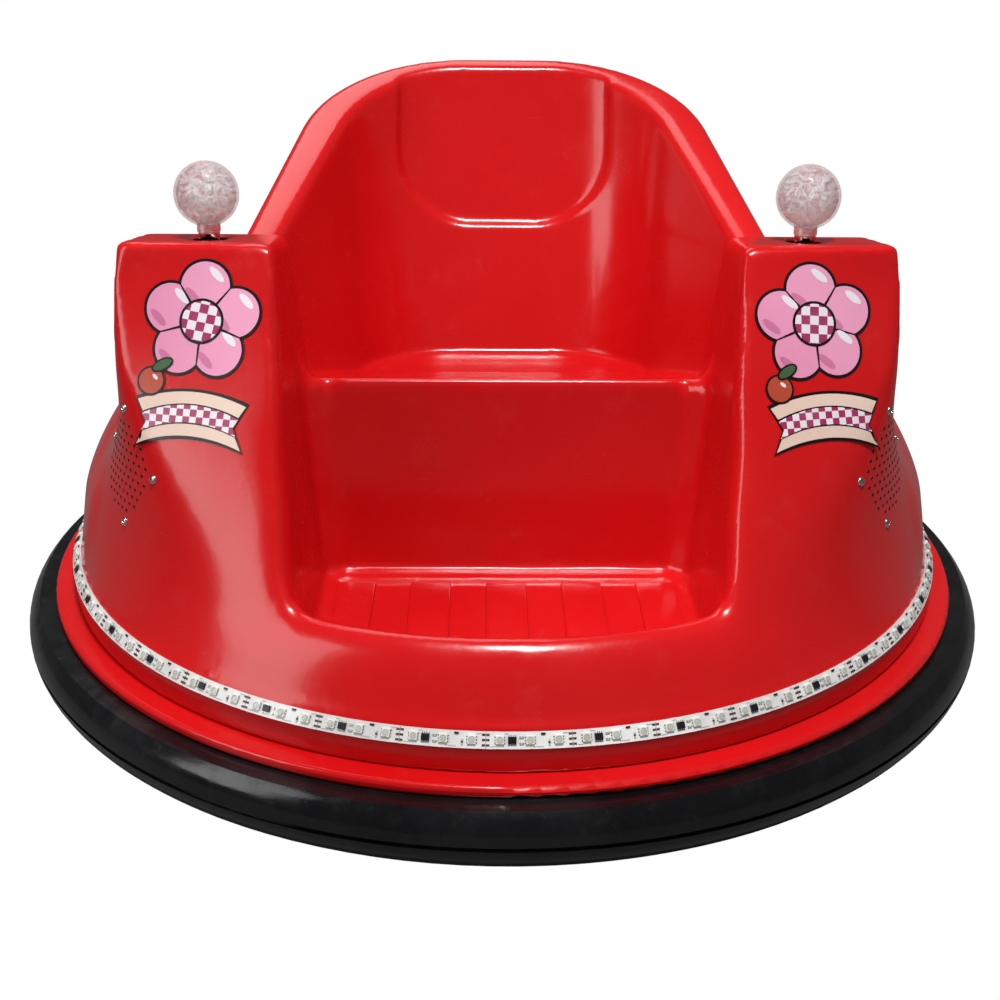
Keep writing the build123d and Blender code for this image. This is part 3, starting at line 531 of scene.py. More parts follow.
# ---------------- small makers
class Solid:
    """Vertices, faces and a material number per face, gathered for one piece."""

    def __init__(self):
        self.verts, self.faces, self.numbers = [], [], []

    def add(self, verts, faces, number):
        start = len(self.verts)
        self.verts += [tuple(v) for v in verts]
        self.faces += [tuple(i + start for i in f) for f in faces]
        self.numbers += [number] * len(faces)

    def box(self, frame_of, low, high, number, chamfer=0.0):
        """A box in local coordinates, its upper edges cut back by the chamfer."""
        c = chamfer
        rings = [(low[2], 0.0), (high[2] - c, 0.0), (high[2], c)] if c else [(low[2], 0.0), (high[2], 0.0)]
        verts = []
        for level, cut in rings:
            for x, y in ((low[0] + cut, low[1] + cut), (high[0] - cut, low[1] + cut),
                         (high[0] - cut, high[1] - cut), (low[0] + cut, high[1] - cut)):
                verts.append(frame_of(x, y, level))
        faces = [(3, 2, 1, 0)]
        for k in range(len(rings) - 1):
            a, b = 4 * k, 4 * k + 4
            faces += [(a + i, a + (i + 1) % 4, b + (i + 1) % 4, b + i) for i in range(4)]
        top = 4 * (len(rings) - 1)
        faces.append((top, top + 1, top + 2, top + 3))
        self.add(verts, faces, number)

    def lathe(self, frame_of, profile, number, count=16, turn=0.0, dip=None):
        """A turned form from (radius, height) pairs, closed at a radius of zero."""
        verts, faces, rings = [], [], []
        for radius, level in profile:
            if radius <= 1e-9:
                rings.append([len(verts)])
                verts.append(frame_of(0.0, 0.0, level))
                continue
            ring = []
            for i in range(count):
                a = 2 * math.pi * i / count + turn
                lx, ly = radius * math.cos(a), radius * math.sin(a)
                ring.append(len(verts))
                verts.append(frame_of(lx, ly, level - (dip(lx, ly) if dip else 0.0)))
            rings.append(ring)
        for a, b in zip(rings, rings[1:]):
            for i in range(count):
                j = (i + 1) % count
                if len(a) == 1 and len(b) == 1:
                    continue
                if len(a) == 1:
                    faces.append((a[0], b[i], b[j]))
                elif len(b) == 1:
                    faces.append((a[i], a[j], b[0]))
                else:
                    faces.append((a[i], a[j], b[j], b[i]))
        self.add(verts, faces, number)

    def piece(self, name, materials, body, smooth=False):
        obj = add_mesh(name, self.verts, self.faces, materials, body, smooth)
        obj.data.polygons.foreach_set("material_index", self.numbers)
        bm = bmesh.new()
        bm.from_mesh(obj.data)
        bmesh.ops.recalc_face_normals(bm, faces=bm.faces)
        bm.to_mesh(obj.data)
        bm.free()
        if smooth:
            obj.data.set_sharp_from_angle(angle=math.radians(38))
        return obj


def axes_at(place, normal, up=(0.0, 0.0, 1.0)):
    """Maps local (across, up, out) to the row frame at a place on a surface."""
    n = Vector(normal).normalized()
    across = Vector(up).cross(n)
    across = across.normalized() if across.length > 1e-6 else Vector((1, 0, 0))
    rise = n.cross(across)
    origin = Vector(place)
    return lambda x, y, z: origin + across * x + rise * y + n * z


ONTO_REACH = 0.06


def onto(place, direction):
    """Where a line along the direction meets the skin, and the skin's normal there."""
    d = Vector(direction).normalized()
    return fine_tree.ray_cast(Vector(place) + d * ONTO_REACH, -d, 2.5 * ONTO_REACH)[:2]


def flat_look(name, colour, rough, vary, spec=0.5, bumps=0.0002, metallic=0.0, scale=60.0):
    """A simple finish that still varies in tone, gloss and relief."""
    s = Shade(name)
    blotch = s.noise(scale, 5.0, 0.65)
    tone = s.mix(s.ramp(blotch, 0.3, 0.75), tuple(c * (1 - vary) for c in colour),
                 tuple(min(1.0, c * (1 + vary)) for c in colour))
    s.set(Base_Color=tone, Roughness=s.ramp(blotch, 0.3, 0.75, max(0.02, rough - 0.08), rough + 0.1),
          Normal=s.bump(s.noise(scale * 14, 2.0, 0.6), 0.2, bumps), Specular_IOR_Level=spec,
          Metallic=metallic)
    return s.mat


# ---------------- footwell strips
FOOT_STRIPS, FOOT_PITCH, FOOT_WIDE, FOOT_HIGH = 5, 0.052, 0.028, 0.0024
FOOT_REAR_Y, FOOT_END_R, FOOT_HALF, FOOT_EDGE = -0.1285, 0.2605, 0.1165, 0.0016


def foot_strips():
    s = Solid()
    edge = FOOT_EDGE
    for k in range(FOOT_STRIPS):
        mid = (k - (FOOT_STRIPS - 1) / 2) * FOOT_PITCH
        xa, xb = max(mid - FOOT_WIDE / 2, -FOOT_HALF), min(mid + FOOT_WIDE / 2, FOOT_HALF)
        across = [xa + (xb - xa) * i / 8 for i in range(9)]
        front = [-math.sqrt(FOOT_END_R ** 2 - x ** 2) for x in across]
        outline = [(x, y) for x, y in zip(across, front)] + [(xb, FOOT_REAR_Y), (xa, FOOT_REAR_Y)]
        cy = sum(p[1] for p in outline) / len(outline)
        rings = []
        for cut, level in ((0.0, -0.0004), (0.0, FOOT_HIGH * 0.35),
                           (edge * 0.3, FOOT_HIGH * 0.8), (edge, FOOT_HIGH)):
            ring = []
            for x, y in outline:
                lean_x = -1 if x > mid + 0.003 else 1 if x < mid - 0.003 else 0
                near_end = abs(x - xa) < 1e-6 or abs(x - xb) < 1e-6
                nx = x + (cut * lean_x if near_end else 0.0)
                ny = y + (cut if y < cy else -cut)
                ring.append((nx, ny, FLOOR_Z + level))
            rings.append(ring)
        verts = [v for ring in rings for v in ring]
        n = len(outline)
        faces = []
        for a in range(len(rings) - 1):
            faces += [(a * n + i, a * n + (i + 1) % n, (a + 1) * n + (i + 1) % n, (a + 1) * n + i)
                      for i in range(n)]
        faces.append(tuple((len(rings) - 1) * n + i for i in range(n)))
        s.add(verts, faces, 0)
    s.piece("foot_strips", [MAT["red_gelcoat"]], "car", True)


foot_strips()


# ---------------- chips and pads of the light strip
STRIP_R, STRIP_Z = 0.3202, 0.1041
STRIP_OUT, STRIP_UP = (0.82, 0.57), (-0.573, 0.82)
CHIP_PHASE, CHIP_COUNT, CHIP_SINK = 0.001, 40, -0.0004
CHIP_LOOKS = [
    flat_look("chip_black", (0.010, 0.010, 0.011), 0.32, 0.2),
    flat_look("package_white", (0.74, 0.735, 0.70), 0.30, 0.06),
    flat_look("package_lens", (0.50, 0.52, 0.44), 0.12, 0.15, 0.6),
    flat_look("solder", (0.62, 0.62, 0.60), 0.22, 0.15, 0.5, 0.0003, 1.0, 300.0),
    flat_look("pad_brown", (0.085, 0.035, 0.022), 0.42, 0.3, 0.5, 0.0002, 0.0, 500.0),
    flat_look("trace_grey", (0.46, 0.44, 0.42), 0.45, 0.12),
]


def strip_place(arc):
    a = arc / STRIP_R
    sin, cos = math.sin(a), math.cos(a)
    origin = Vector((STRIP_R * sin, -STRIP_R * cos, STRIP_Z))
    along = Vector((cos, sin, 0.0))
    out = Vector((STRIP_OUT[0] * sin, -STRIP_OUT[0] * cos, STRIP_OUT[1]))
    up = Vector((STRIP_UP[0] * sin, -STRIP_UP[0] * cos, STRIP_UP[1]))
    return lambda x, y, z: origin + along * x + up * y + out * z


def chip_pads():
    """The boxes of one period in millimetres: (arc, x, y, half_x, half_y, top, look, chamfer)."""
    rows = [(0.0, 0.0, 0.0, 2.45, 2.0, 1.5, 0, 0.25)]
    rows += [(0.0, -1.9 + 1.27 * i, y, 0.2, 0.55, 0.35, 3, 0.0) for i in range(4) for y in (-2.45, 2.45)]
    for y in (-1.9, 1.6):
        rows.append((5.4, 0.0, y, 0.8, 0.65, 0.55, 5, 0.1))
        rows += [(5.4, x, y, 0.2, 0.6, 0.5, 3, 0.0) for x in (-1.0, 1.0)]
    for arc in LAMP_ARCS:
        rows.append((arc, 0.0, 0.0, 2.5, 2.5, 1.35, 1, 0.2))
        rows += [(arc, x, y, 0.35, 0.4, 0.3, 3, 0.0) for x in (-2.75, 2.75) for y in (-1.7, 0.0, 1.7)]
    rows.append((18.0, 0.0, 3.55, 1.3, 0.55, 0.7, 0, 0.1))
    rows.append((21.4, 0.0, -1.4, 0.45, 1.8, 0.6, 5, 0.1))
    rows.append((21.4, 0.0, -1.4, 0.6, 0.5, 0.7, 0, 0.0))
    rows += [(35.0, x, y, 0.975, 0.62, 0.16, 4, 0.0) for y in (-3.0, 0.0, 3.0) for x in (-1.225, 1.225)]
    rows.append((35.0, 0.0, 0.0, 0.09, 4.6, 0.10, 0, 0.0))
    rows += [(arc, 0.0, y, half, 0.28, 0.10, 5, 0.0)
             for arc, y, half in ((15.0, -3.7, 3.0), (31.0, 3.6, 1.6), (39.2, -3.6, 1.5), (47.0, 3.7, 1.2))]
    return rows


LAMP_ARCS = (10.4, 26.9, 43.2)
LAMP_RING = [(2.05 * MM, 1.30 * MM), (2.0 * MM, 1.52 * MM), (1.75 * MM, 1.55 * MM), (1.65 * MM, 1.40 * MM)]
LAMP_LENS = [(1.70 * MM, 1.36 * MM), (0.9 * MM, 1.44 * MM), (0.0, 1.46 * MM)]


def strip_chips():
    s = Solid()
    for k in range(CHIP_COUNT):
        start = CHIP_PHASE + k * 2 * math.pi * STRIP_R / CHIP_COUNT
        for arc, x, y, half_x, half_y, top, look, chamfer in chip_pads():
            s.box(strip_place(start + arc * MM), ((x - half_x) * MM, (y - half_y) * MM, CHIP_SINK),
                  ((x + half_x) * MM, (y + half_y) * MM, top * MM), look, chamfer * MM)
        for arc in LAMP_ARCS:
            at = strip_place(start + arc * MM)
            s.lathe(at, LAMP_RING, 5, 20)
            s.lathe(at, LAMP_LENS, 2, 20)
    s.piece("strip_chips", CHIP_LOOKS, "car")


strip_chips()


# ---------------- cores of the clear balls
CORE_R, BALL_AT = 0.0192, (*LEVER, 0.3685)
COLLAR = [(0.0070, 0.3436), (0.0076, 0.3441), (0.0076, 0.3500), (0.0070, 0.3506), (0.0060, 0.3507)]


def core_look():
    s = Shade("ball_core_look")
    cells = s.voronoi(270.0, "F1")
    veins = s.voronoi(165.0, "DISTANCE_TO_EDGE")
    knots = s.noise(130.0, 4.0, 0.65, distort=1.6)
    pink = s.mix(s.ramp(knots, 0.38, 0.60), (0.72, 0.46, 0.47), (1.0, 0.98, 0.98))
    colour = s.mix(s.ramp(veins, 0.0, 0.10, 0.85, 0.0), pink, (1.0, 0.98, 0.97))
    colour = s.mix(s.ramp(cells, 0.02, 0.14, 0.45, 0.0), colour, (0.46, 0.24, 0.25))
    s.set(Base_Color=colour, Roughness=s.ramp(knots, 0.3, 0.7, 0.10, 0.30),
          Normal=s.bump(knots, 0.9, 0.004, s.bump(veins, 0.8, 0.003)), Transmission_Weight=0.5, IOR=1.15)
    return s.mat


CORE_LOOK = core_look()
STUD_LOOK = metal("stud_look", (0.82, 0.82, 0.80), 0.26, (1.0, 1.0, 5.0), 0.05, 0.45)


def ball_cores():
    bm = bmesh.new()
    bmesh.ops.create_icosphere(bm, subdivisions=5, radius=1.0)
    unit = [v.co.copy() for v in bm.verts]
    faces = [tuple(v.index for v in f.verts) for f in bm.faces]
    bm.free()
    for side, tag in SIDES:
        centre = Vector((side * BALL_AT[0], BALL_AT[1], BALL_AT[2]))
        shift = Vector((3.1 * side, 1.7, 0.4))
        verts = []
        for d in unit:
            rough = noise.noise(d * 7.0 + shift) * 0.5 + noise.noise(d * 15.0 + shift) * 0.5
            verts.append(tuple(centre + d * (CORE_R * (1.0 + 0.045 * rough))))
        add_mesh(f"ball_core_{tag}", verts, faces, [CORE_LOOK], f"lever_{tag}")
        s = Solid()
        at = axes_at((side * BALL_AT[0], BALL_AT[1], 0.0), (0, 0, 1), (0, 1, 0))
        s.lathe(at, COLLAR, 0, 32)
        s.piece(f"ball_collar_{tag}", [STUD_LOOK], f"lever_{tag}", True)


ball_cores()


# ---------------- speaker holes and screws
SPEAKER_AT = (0.2500, -0.1500, 0.2060)
SPEAKER_OUT = (0.83, -0.55, 0.10)
SPEAKER_R, HOLE_PITCH, HOLE_R, SCREW_R = 0.031, 0.0066, 0.00105, 0.0030
ROW_PITCH = HOLE_PITCH * 0.866
SCREWS_AT = ((0.003, 0.0385), (0.009, -0.037), (-0.0375, 0.006), (0.0375, 0.001))
# The speaker holes are not cut. Each is a near-black disc, painted shade in place of the open hole, inside a
# darker red ring, painted shade at the hole's edge.
HOLE_LOOKS = [flat_look("hole_painted_shade", (0.012, 0.006, 0.006), 0.8, 0.3, 0.1),
              flat_look("hole_rim_painted_shade", (0.30, 0.016, 0.018), 0.3, 0.15)]
SCREW_LOOK = flat_look("screw_look", (0.70, 0.69, 0.66), 0.24, 0.12, 0.5, 0.0003, 1.0, 240.0)


def cross_dip(radius, depth):
    """The cross recess of a screw head."""
    return lambda x, y: (depth if min(abs(x), abs(y)) < 0.16 * radius and math.hypot(x, y) < 0.62 * radius
                         else 0.0)


def pan_screw(s, at, radius, number):
    high = radius * 0.55
    profile = [(radius, -0.0004), (radius, high * 0.25)]
    for i in range(1, 9):
        share = 1 - i / 9
        profile.append((radius * share, high * (0.25 + 0.75 * math.sqrt(1 - share ** 2))))
    profile.append((0.0, high))
    s.lathe(at, profile, number, 40, dip=cross_dip(radius, high * 0.7))


def speakers():
    for side, tag in SIDES:
        place = Vector((side * SPEAKER_AT[0], SPEAKER_AT[1], SPEAKER_AT[2]))
        out = Vector((side * SPEAKER_OUT[0], SPEAKER_OUT[1], SPEAKER_OUT[2])).normalized()
        plane = axes_at(place, out)
        s = Solid()
        rows = int(SPEAKER_R / ROW_PITCH) + 1
        for row in range(-rows, rows + 1):
            for col in range(-rows - 1, rows + 2):
                u = (col + 0.5 * (row % 2)) * HOLE_PITCH
                v = row * ROW_PITCH
                if math.hypot(u, v) > SPEAKER_R:
                    continue
                hit, normal = onto(plane(u, v, 0.0), out)
                if hit is None:
                    continue
                at = axes_at(hit, normal)
                # darker red ring and near-black disc: painted shade where the hole would be
                s.lathe(at, [(HOLE_R * 1.32, -0.0001), (HOLE_R * 1.15, 0.00022), (HOLE_R, 0.00018)], 1, 14)
                s.lathe(at, [(HOLE_R * 1.02, 0.00018), (0.0, 0.00010)], 0, 14)
        s.piece(f"speaker_holes_painted_shade_{tag}", HOLE_LOOKS, "car")
        s = Solid()
        for u, v in SCREWS_AT:
            hit, normal = onto(plane(u * -side, v, 0.0), out)
            if hit is not None:
                pan_screw(s, axes_at(hit, normal), SCREW_R, 0)
        s.piece(f"speaker_screws_{tag}", [SCREW_LOOK], "car", True)


speakers()


# ---------------- generic flower decals
DECAL_AT = (0.1960, -0.1550, 0.2790)
DECAL_OUT = (0.20, -0.86, 0.46)
DECAL_GRID, DECAL_LIFT, DECAL_LEVEL = 0.0034, 0.00032, 0.0001
RELIEF_PITCH = 0.003


def check_look(name, size, tilt):
    """A two-colour check drawn from the decal's own coordinates in metres."""
    s = Shade(name)
    mapping = s.nodes.new("ShaderNodeMapping")
    mapping.inputs["Rotation"].default_value = (0, 0, tilt)
    s.links.new(s.coord.outputs["UV"], mapping.inputs["Vector"])
    check = s.nodes.new("ShaderNodeTexChecker")
    check.inputs["Scale"].default_value = 1.0 / size
    s.links.new(mapping.outputs["Vector"], check.inputs["Vector"])
    blotch = s.noise(60.0, 4.0)
    colour = s.mix(check.outputs["Fac"], (0.36, 0.020, 0.105), (0.86, 0.79, 0.83))
    s.set(Base_Color=s.mix(s.ramp(blotch, 0.3, 0.8, 0.0, 0.12), colour, (0.5, 0.3, 0.35)),
          Roughness=s.ramp(blotch, 0.3, 0.75, 0.20, 0.32))
    return s.mat


def decal_look(name, colour, darker):
    """Printed vinyl with a soft change of tone across the print."""
    s = Shade(name)
    blotch = s.noise(45.0, 4.0)
    x, y, _ = s.xyz("UV")[:3]
    fade = s.ramp(s.math("ADD", x, s.math("MULTIPLY", y, 0.7)), -0.05, 0.05)
    tone = s.mix(fade, darker, colour)
    s.set(Base_Color=s.mix(s.ramp(blotch, 0.3, 0.8, 0.0, 0.10), tone, tuple(c * 0.8 for c in darker)),
          Roughness=s.ramp(blotch, 0.3, 0.75, 0.20, 0.32), Normal=s.bump(s.noise(500.0, 2.0), 0.12, 0.0002),
          Specular_IOR_Level=0.4)
    return s.mat


DECAL_LOOKS = {
    "black": decal_look("decal_black", (0.010, 0.009, 0.010), (0.006, 0.005, 0.006)),
    "pink": decal_look("decal_pink", (0.87, 0.36, 0.54), (0.78, 0.27, 0.45)),
    "deep": decal_look("decal_deep", (0.66, 0.20, 0.37), (0.58, 0.16, 0.32)),
    "shine": decal_look("decal_shine", (0.86, 0.80, 0.86), (0.80, 0.72, 0.80)),
    "peach": decal_look("decal_peach", (0.88, 0.68, 0.56), (0.80, 0.58, 0.48)),
    "orange": decal_look("decal_orange", (0.62, 0.105, 0.045), (0.46, 0.065, 0.03)),
    "green": decal_look("decal_green", (0.080, 0.165, 0.065), (0.05, 0.11, 0.045)),
    "check": check_look("decal_check", 0.0058, 0.12),
    "check_small": check_look("decal_check_small", 0.0046, 0.0),
}


def circle(cx, cy, r, count=48):
    return [(cx + r * math.cos(2 * math.pi * i / count), cy + r * math.sin(2 * math.pi * i / count))
            for i in range(count)]


def oval(cx, cy, rx, ry, turn, count=40):
    c, s = math.cos(turn), math.sin(turn)
    out = []
    for i in range(count):
        a = 2 * math.pi * i / count
        u, v = rx * math.cos(a), ry * math.sin(a)
        out.append((cx + u * c - v * s, cy + u * s + v * c))
    return out


def lobes(cx, cy, reach, lobe_r, count, turn, grow=0.0, steps=240):
    """Outline of equal circles set round a centre."""
    out = []
    for i in range(steps):
        a = 2 * math.pi * i / steps
        best = 0.0
        for k in range(count):
            b = turn + 2 * math.pi * k / count
            along = reach * math.cos(a - b)
            gap = (lobe_r + grow) ** 2 - (reach * math.sin(a - b)) ** 2
            if gap > 0:
                best = max(best, along + math.sqrt(gap))
        out.append((cx + best * math.cos(a), cy + best * math.sin(a)))
    return out


def ribbon(cx, cy, half, high, bow, grow=0.0, notch=0.008, count=28):
    """A bowed band with swallow tails."""
    half, high = half + grow, high / 2 + grow
    lower, upper = [], []
    for i in range(count + 1):
        t = -1 + 2 * i / count
        mid = bow * (1 - t * t)
        lower.append((cx + half * t, cy + mid - high))
        upper.append((cx + half * t, cy + mid + high))
    right_in = (cx + half - notch, cy)
    left_in = (cx - half + notch, cy)
    return lower + [right_in] + upper[::-1] + [left_in]


def inside(point, outline):
    x, y = point
    hit = False
    for (x0, y0), (x1, y1) in zip(outline, outline[1:] + outline[:1]):
        if (y0 > y) != (y1 > y) and x < (x1 - x0) * (y - y0) / (y1 - y0) + x0:
            hit = not hit
    return hit


class Relief:
    """The skin's smoothed height over a decal's plane."""

    def __init__(self, plane, out, half_u, low_v, high_v):
        pitch = RELIEF_PITCH
        self.low = (-half_u, low_v)
        nu, nv = int(2 * half_u / pitch) + 2, int((high_v - low_v) / pitch) + 2
        field = np.zeros((nu, nv))
        origin = plane(0.0, 0.0, 0.0)
        for i in range(nu):
            for j in range(nv):
                hit, _ = onto(plane(-half_u + i * pitch, low_v + j * pitch, 0.0), out)
                field[i, j] = (hit - origin).dot(out) if hit is not None else np.nan
        field = np.where(np.isnan(field), np.nanmin(field), field)
        wide = np.pad(field, 1, mode="edge")
        field = np.max([wide[a:a + nu, b:b + nv] for a in range(3) for b in range(3)], axis=0)
        for _ in range(4):
            wide = np.pad(field, 1, mode="edge")
            field = (wide[:-2, 1:-1] + wide[2:, 1:-1] + wide[1:-1, :-2] + wide[1:-1, 2:]
                     + 2 * wide[1:-1, 1:-1]) / 6
        self.field = field

    def at(self, u, v):
        i = min(max((u - self.low[0]) / RELIEF_PITCH, 0.0), self.field.shape[0] - 1.001)
        j = min(max((v - self.low[1]) / RELIEF_PITCH, 0.0), self.field.shape[1] - 1.001)
        a, b = int(i), int(j)
        f, g = i - a, j - b
        q = self.field
        return ((q[a, b] * (1 - f) + q[a + 1, b] * f) * (1 - g)
                + (q[a, b + 1] * (1 - f) + q[a + 1, b + 1] * f) * g)


def decal_shape(plane, relief, outline, lift):
    """One filled shape laid on the skin: vertices, faces and flat coordinates."""
    us = [p[0] for p in outline]
    vs = [p[1] for p in outline]
    points = [Vector(p) for p in outline]
    u = min(us) + DECAL_GRID / 2
    while u < max(us):
        v = min(vs) + DECAL_GRID / 2
        while v < max(vs):
            if inside((u, v), outline):
                near = min((u - a) ** 2 + (v - b) ** 2 for a, b in outline)
                if near > (DECAL_GRID * 0.45) ** 2:
                    points.append(Vector((u, v)))
            v += DECAL_GRID
        u += DECAL_GRID
    n = len(outline)
    flat, _, faces, _, _, _ = delaunay_2d_cdt(points, [(i, (i + 1) % n) for i in range(n)], [], 0, 1e-7)
    verts = [plane(p[0], p[1], relief.at(p[0], p[1]) + lift) for p in flat]
    keep = []
    for f in faces:
        c = (flat[f[0]] + flat[f[1]] + flat[f[2]]) / 3
        if inside((c[0], c[1]), outline):
            keep.append(tuple(f))
    return verts, keep, [tuple(p) for p in flat]


def decal_design():
    """The shapes: (level, outline, look)."""
    mm = MM
    fx, fy, reach, lobe = 0.0, 24 * mm, 22.2 * mm, 15.8 * mm
    turn = math.pi / 2
    shapes = [(0, lobes(fx, fy, reach, lobe, 5, turn, 1.9 * mm), "black"),
              (1, lobes(fx, fy, reach, lobe, 5, turn), "pink")]
    for k in range(5):
        a = turn + 2 * math.pi * (k + 0.5) / 5
        c, s = math.cos(a), math.sin(a)
        r0, r1 = 11 * mm, 27.4 * mm
        line = [(fx + r * c - w * s, fy + r * s + w * c)
                for r, w in ((r0, 0.9 * mm), (r1, 0.45 * mm), (r1, -0.45 * mm), (r0, -0.9 * mm))]
        shapes.append((2, line, "black"))
        b = turn + 2 * math.pi * k / 5
        px, py = fx + reach * math.cos(b), fy + reach * math.sin(b)
        shapes.append((2, oval(px - 7.5 * mm, py - 6.5 * mm, 7.0 * mm, 2.5 * mm, -0.75), "deep"))
        shapes.append((2, oval(px + 6.5 * mm, py + 8.2 * mm, 6.4 * mm, 2.4 * mm, -0.75), "shine"))
    shapes += [(3, circle(fx, fy, 14.6 * mm, 64), "black"), (4, circle(fx, fy, 12.9 * mm, 64), "check")]
    rx, ry, half, high, bow = 0.0, -42 * mm, 37.0 * mm, 28 * mm, 7 * mm
    shapes += [(0, ribbon(rx, ry, half, high, bow, 1.9 * mm), "black"),
               (1, ribbon(rx, ry, half, high, bow), "peach"),
               (2, ribbon(rx, ry, half - 4 * mm, 11 * mm, bow, 0.9 * mm, 3 * mm), "black"),
               (3, ribbon(rx, ry, half - 4 * mm, 11 * mm, bow, 0.0, 3 * mm), "check_small")]
    ox, oy = -29 * mm, -16 * mm
    shapes += [(3, circle(ox, oy, 9.6 * mm, 40), "black"), (4, circle(ox, oy, 8.2 * mm, 40), "orange"),
               (5, oval(ox + 2.6 * mm, oy + 2.6 * mm, 2.3 * mm, 1.2 * mm, -0.7, 20), "shine"),
               (5, oval(ox + 6.5 * mm, oy + 10.6 * mm, 7.8 * mm, 4.0 * mm, 0.5, 32), "black"),
               (6, oval(ox + 6.5 * mm, oy + 10.6 * mm, 6.5 * mm, 2.8 * mm, 0.5, 32), "green")]
    return shapes


def decals():
    looks = list(DECAL_LOOKS)
    for side, tag in SIDES:
        place = Vector((side * DECAL_AT[0], DECAL_AT[1], DECAL_AT[2]))
        out = Vector((side * DECAL_OUT[0], DECAL_OUT[1], DECAL_OUT[2])).normalized()
        plane = axes_at(place, out)
        relief = Relief(plane, out, 0.048, -0.068, 0.072)
        s = Solid()
        flats = []
        for level, outline, look in decal_design():
            verts, faces, flat = decal_shape(plane, relief, outline, DECAL_LIFT + DECAL_LEVEL * level)
            s.add(verts, faces, looks.index(look))
            flats += flat
        obj = add_mesh(f"flower_decal_{tag}", s.verts, s.faces, list(DECAL_LOOKS.values()), "car")
        obj.data.polygons.foreach_set("material_index", s.numbers)
        layer = obj.data.uv_layers.new(name="flat")
        for loop in obj.data.loops:
            layer.data[loop.index].uv = flats[loop.vertex_index]
        if obj.data.polygons[0].normal.dot(out) < 0:
            obj.data.flip_normals()


decals()


# ---------------- bolts under the car
BOLT_LOOK = metal("bolt_look", (0.50, 0.50, 0.51), 0.32, (1.0, 1.0, 1.0), 0.45)
PLATE_UNDER, CASTER_UNDER = 0.100, 0.096
CASTER_AT, CASTER_BOLT_HALF = (0.150085, 0.169640), 0.0225
RIM_BOLTS, RIM_BOLT_R = 12, 0.297
CASTER_BOLT, RIM_BOLT = 0.0048, 0.0050


def hex_bolt(s, x, y, under, size):
    at = axes_at((x, y, under), (0, 0, -1), (0, 1, 0))
    s.lathe(at, [(size * 1.55, -0.0004), (size * 1.55, 0.0009), (size * 1.48, 0.0012), (size, 0.0012)], 0, 24)
    turn = RNG.uniform(0, math.pi / 3)
    s.lathe(at, [(size, 0.0010), (size, 0.0040), (size * 0.86, 0.0047), (0.0, 0.0047)], 0, 6, turn=turn)
    s.lathe(at, [(size * 0.5, 0.0045), (size * 0.5, 0.0061), (size * 0.40, 0.0068), (0.0, 0.0068)], 0, 16)


def under_bolts():
    s = Solid()
    for sx, sy, dx, dy in product((-1, 1), repeat=4):
        hex_bolt(s, sx * CASTER_AT[0] + dx * CASTER_BOLT_HALF, sy * CASTER_AT[1] + dy * CASTER_BOLT_HALF,
                 CASTER_UNDER, CASTER_BOLT)
    for k in range(RIM_BOLTS):
        a = 2 * math.pi * (k + 0.5) / RIM_BOLTS
        hex_bolt(s, RIM_BOLT_R * math.cos(a), RIM_BOLT_R * math.sin(a), PLATE_UNDER, RIM_BOLT)
    s.piece("under_bolts", [BOLT_LOOK], "car", True)


under_bolts()


# ---------------- grooved driving tyres
TYRE_X, TYRE_R, TYRE_HALF, TYRE_IN_R, TYRE_AXLE_Z = 0.205, 0.060, 0.018, 0.042, 0.060
TYRE_SHOULDER, TYRE_STEPS, TYRE_CUTS_EVERY = 0.006, 216, 9
GROOVE_XS, GROOVE_DEEP, CUT_DEEP, CUT_FROM_X = (-0.0055, 0.0055), 0.0022, 0.0016, 0.0068


def tyre_mesh(side):
    """The tyre with a ribbed tread: two grooves round it and cuts across the shoulders."""
    shoulder = TYRE_SHOULDER
    across = [(x - TYRE_HALF, r, 0) for x, r in (
        (0.0010, TYRE_IN_R + 0.0002), (0.0, TYRE_IN_R + 0.003), (0.0, TYRE_IN_R + 0.0055),
        (0.0009, TYRE_IN_R + 0.0065), (0.0, TYRE_IN_R + 0.0075), (0.0, TYRE_R - shoulder - 0.001))]
    for i in range(1, 6):
        a = math.pi / 2 * i / 6
        across.append((shoulder * (1 - math.cos(a)) - TYRE_HALF,
                       TYRE_R - shoulder + shoulder * math.sin(a), 1))
    near = [g + d for g in GROOVE_XS for d in (-0.0012, -0.0008, 0.0008, 0.0012)]
    samples = sorted({round(v, 5) for v in [shoulder - TYRE_HALF, 0.0] + near})
    for v in [q for q in samples if q <= 0]:
        deep = any(abs(v - g) < 0.00081 for g in GROOVE_XS)
        across.append((v, TYRE_R - (GROOVE_DEEP if deep else 0.0), 2))
    mirrored = [(-px, pr, zone) for px, pr, zone in across[::-1] if px < -1e-6]
    profile = across + mirrored
    verts, faces = [], []
    for i in range(TYRE_STEPS):
        a = 2 * math.pi * i / TYRE_STEPS
        cut = (i % TYRE_CUTS_EVERY) in (0, 1)
        for px, pr, zone in profile:
            rr = pr - (CUT_DEEP if cut and (zone == 1 or (zone == 2 and abs(px) > CUT_FROM_X)) else 0.0)
            verts.append((side * TYRE_X + px, rr * math.sin(a), TYRE_AXLE_Z + rr * math.cos(a)))
    n = len(profile)
    for i in range(TYRE_STEPS):
        j = (i + 1) % TYRE_STEPS
        for k in range(n - 1):
            faces.append((i * n + k, i * n + k + 1, j * n + k + 1, j * n + k))
        faces.append((i * n + n - 1, i * n, j * n, j * n + n - 1))
    return verts, faces


for side, tag in SIDES:
    s = Solid()
    s.add(*tyre_mesh(side), 0)
    tyre = s.piece(f"tyre_tread_{tag}", [MAT["wheel_rubber"]], f"drive_wheel_{tag}", True)
    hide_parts(f"drive_tyre_{tag}")


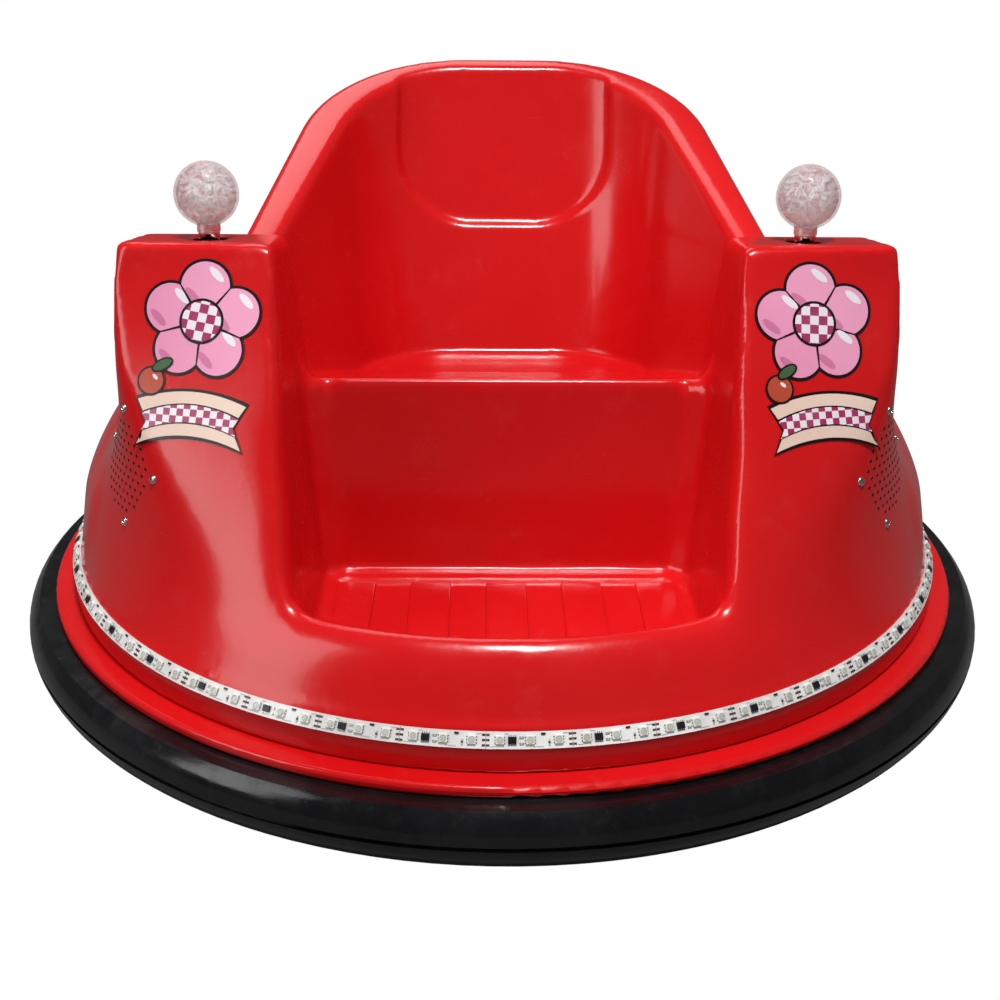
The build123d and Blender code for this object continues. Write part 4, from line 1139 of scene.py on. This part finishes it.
# ---------------- floor and light
WORLD_LIGHT, WORLD_GLOSS = 0.31, 0.09
LAMPS = [
    ("key", (0.15, -0.75, 3.05), (0, 0, 0.2), (0.5, 0.5), 78.0),
    ("left", (-1.9, -1.1, 1.3), (-0.1, -0.1, 0.2), (0.9, 1.4), 15.0),
    ("rear", (-0.4, 1.6, 2.2), (0, 0, 0.25), (1.3, 1.3), 10.0),
]


def choose(tree, factor, first, second):
    """The second shader where the factor is one, the first elsewhere."""
    node = tree.nodes.new("ShaderNodeMixShader")
    for socket, source in zip(node.inputs, (factor, first, second)):
        tree.links.new(source, socket)
    return node.outputs[0]


def stage_and_light():
    """A white backdrop for the camera, a grey floor for the light, and plain lamps."""
    bpy.ops.mesh.primitive_plane_add(size=60, location=(0, 0, 0))
    ground = bpy.context.object
    ground.name = "ground"
    s = Shade("ground_look")
    s.set(Base_Color=s.mix(s.noise(3.0, 4.0), (0.13, 0.13, 0.13), (0.15, 0.15, 0.15)), Roughness=0.8,
          Specular_IOR_Level=0.1)
    path = s.nodes.new("ShaderNodeLightPath")
    white = s.nodes.new("ShaderNodeEmission")
    white.inputs["Strength"].default_value = 1.0
    seen = s.math("MAXIMUM", path.outputs["Is Camera Ray"], path.outputs["Is Transmission Ray"])
    above = choose(s.mat.node_tree, seen, s.bsdf.outputs[0], white.outputs[0])
    clear = s.nodes.new("ShaderNodeBsdfTransparent")
    below = s.nodes.new("ShaderNodeNewGeometry").outputs["Backfacing"]
    one_sided = choose(s.mat.node_tree, below, above, clear.outputs[0])
    s.links.new(one_sided, s.nodes["Material Output"].inputs["Surface"])
    ground.data.materials.append(s.mat)

    world = bpy.data.worlds.new("world")
    bpy.context.scene.world = world
    world.use_nodes = True
    tree = world.node_tree
    tree.nodes.clear()
    out = tree.nodes.new("ShaderNodeOutputWorld")
    rays = tree.nodes.new("ShaderNodeLightPath").outputs

    def sky(strength):
        node = tree.nodes.new("ShaderNodeBackground")
        node.inputs["Color"].default_value = (1, 1, 1, 1)
        node.inputs["Strength"].default_value = strength
        return node.outputs[0]

    light = choose(tree, rays["Is Glossy Ray"], sky(WORLD_LIGHT), sky(WORLD_GLOSS))
    light = choose(tree, rays["Is Transmission Ray"], light, sky(1.0))
    light = choose(tree, rays["Is Camera Ray"], light, sky(1.0))
    tree.links.new(light, out.inputs["Surface"])

    for name, place, aim, size, power in LAMPS:
        data = bpy.data.lights.new(name, "AREA")
        data.shape = "RECTANGLE"
        data.size, data.size_y = size
        data.energy = power
        obj = bpy.data.objects.new(name, data)
        obj.location = place
        obj.rotation_euler = (Vector(aim) - Vector(place)).to_track_quat("-Z", "Y").to_euler()
        bpy.context.scene.collection.objects.link(obj)


stage_and_light()
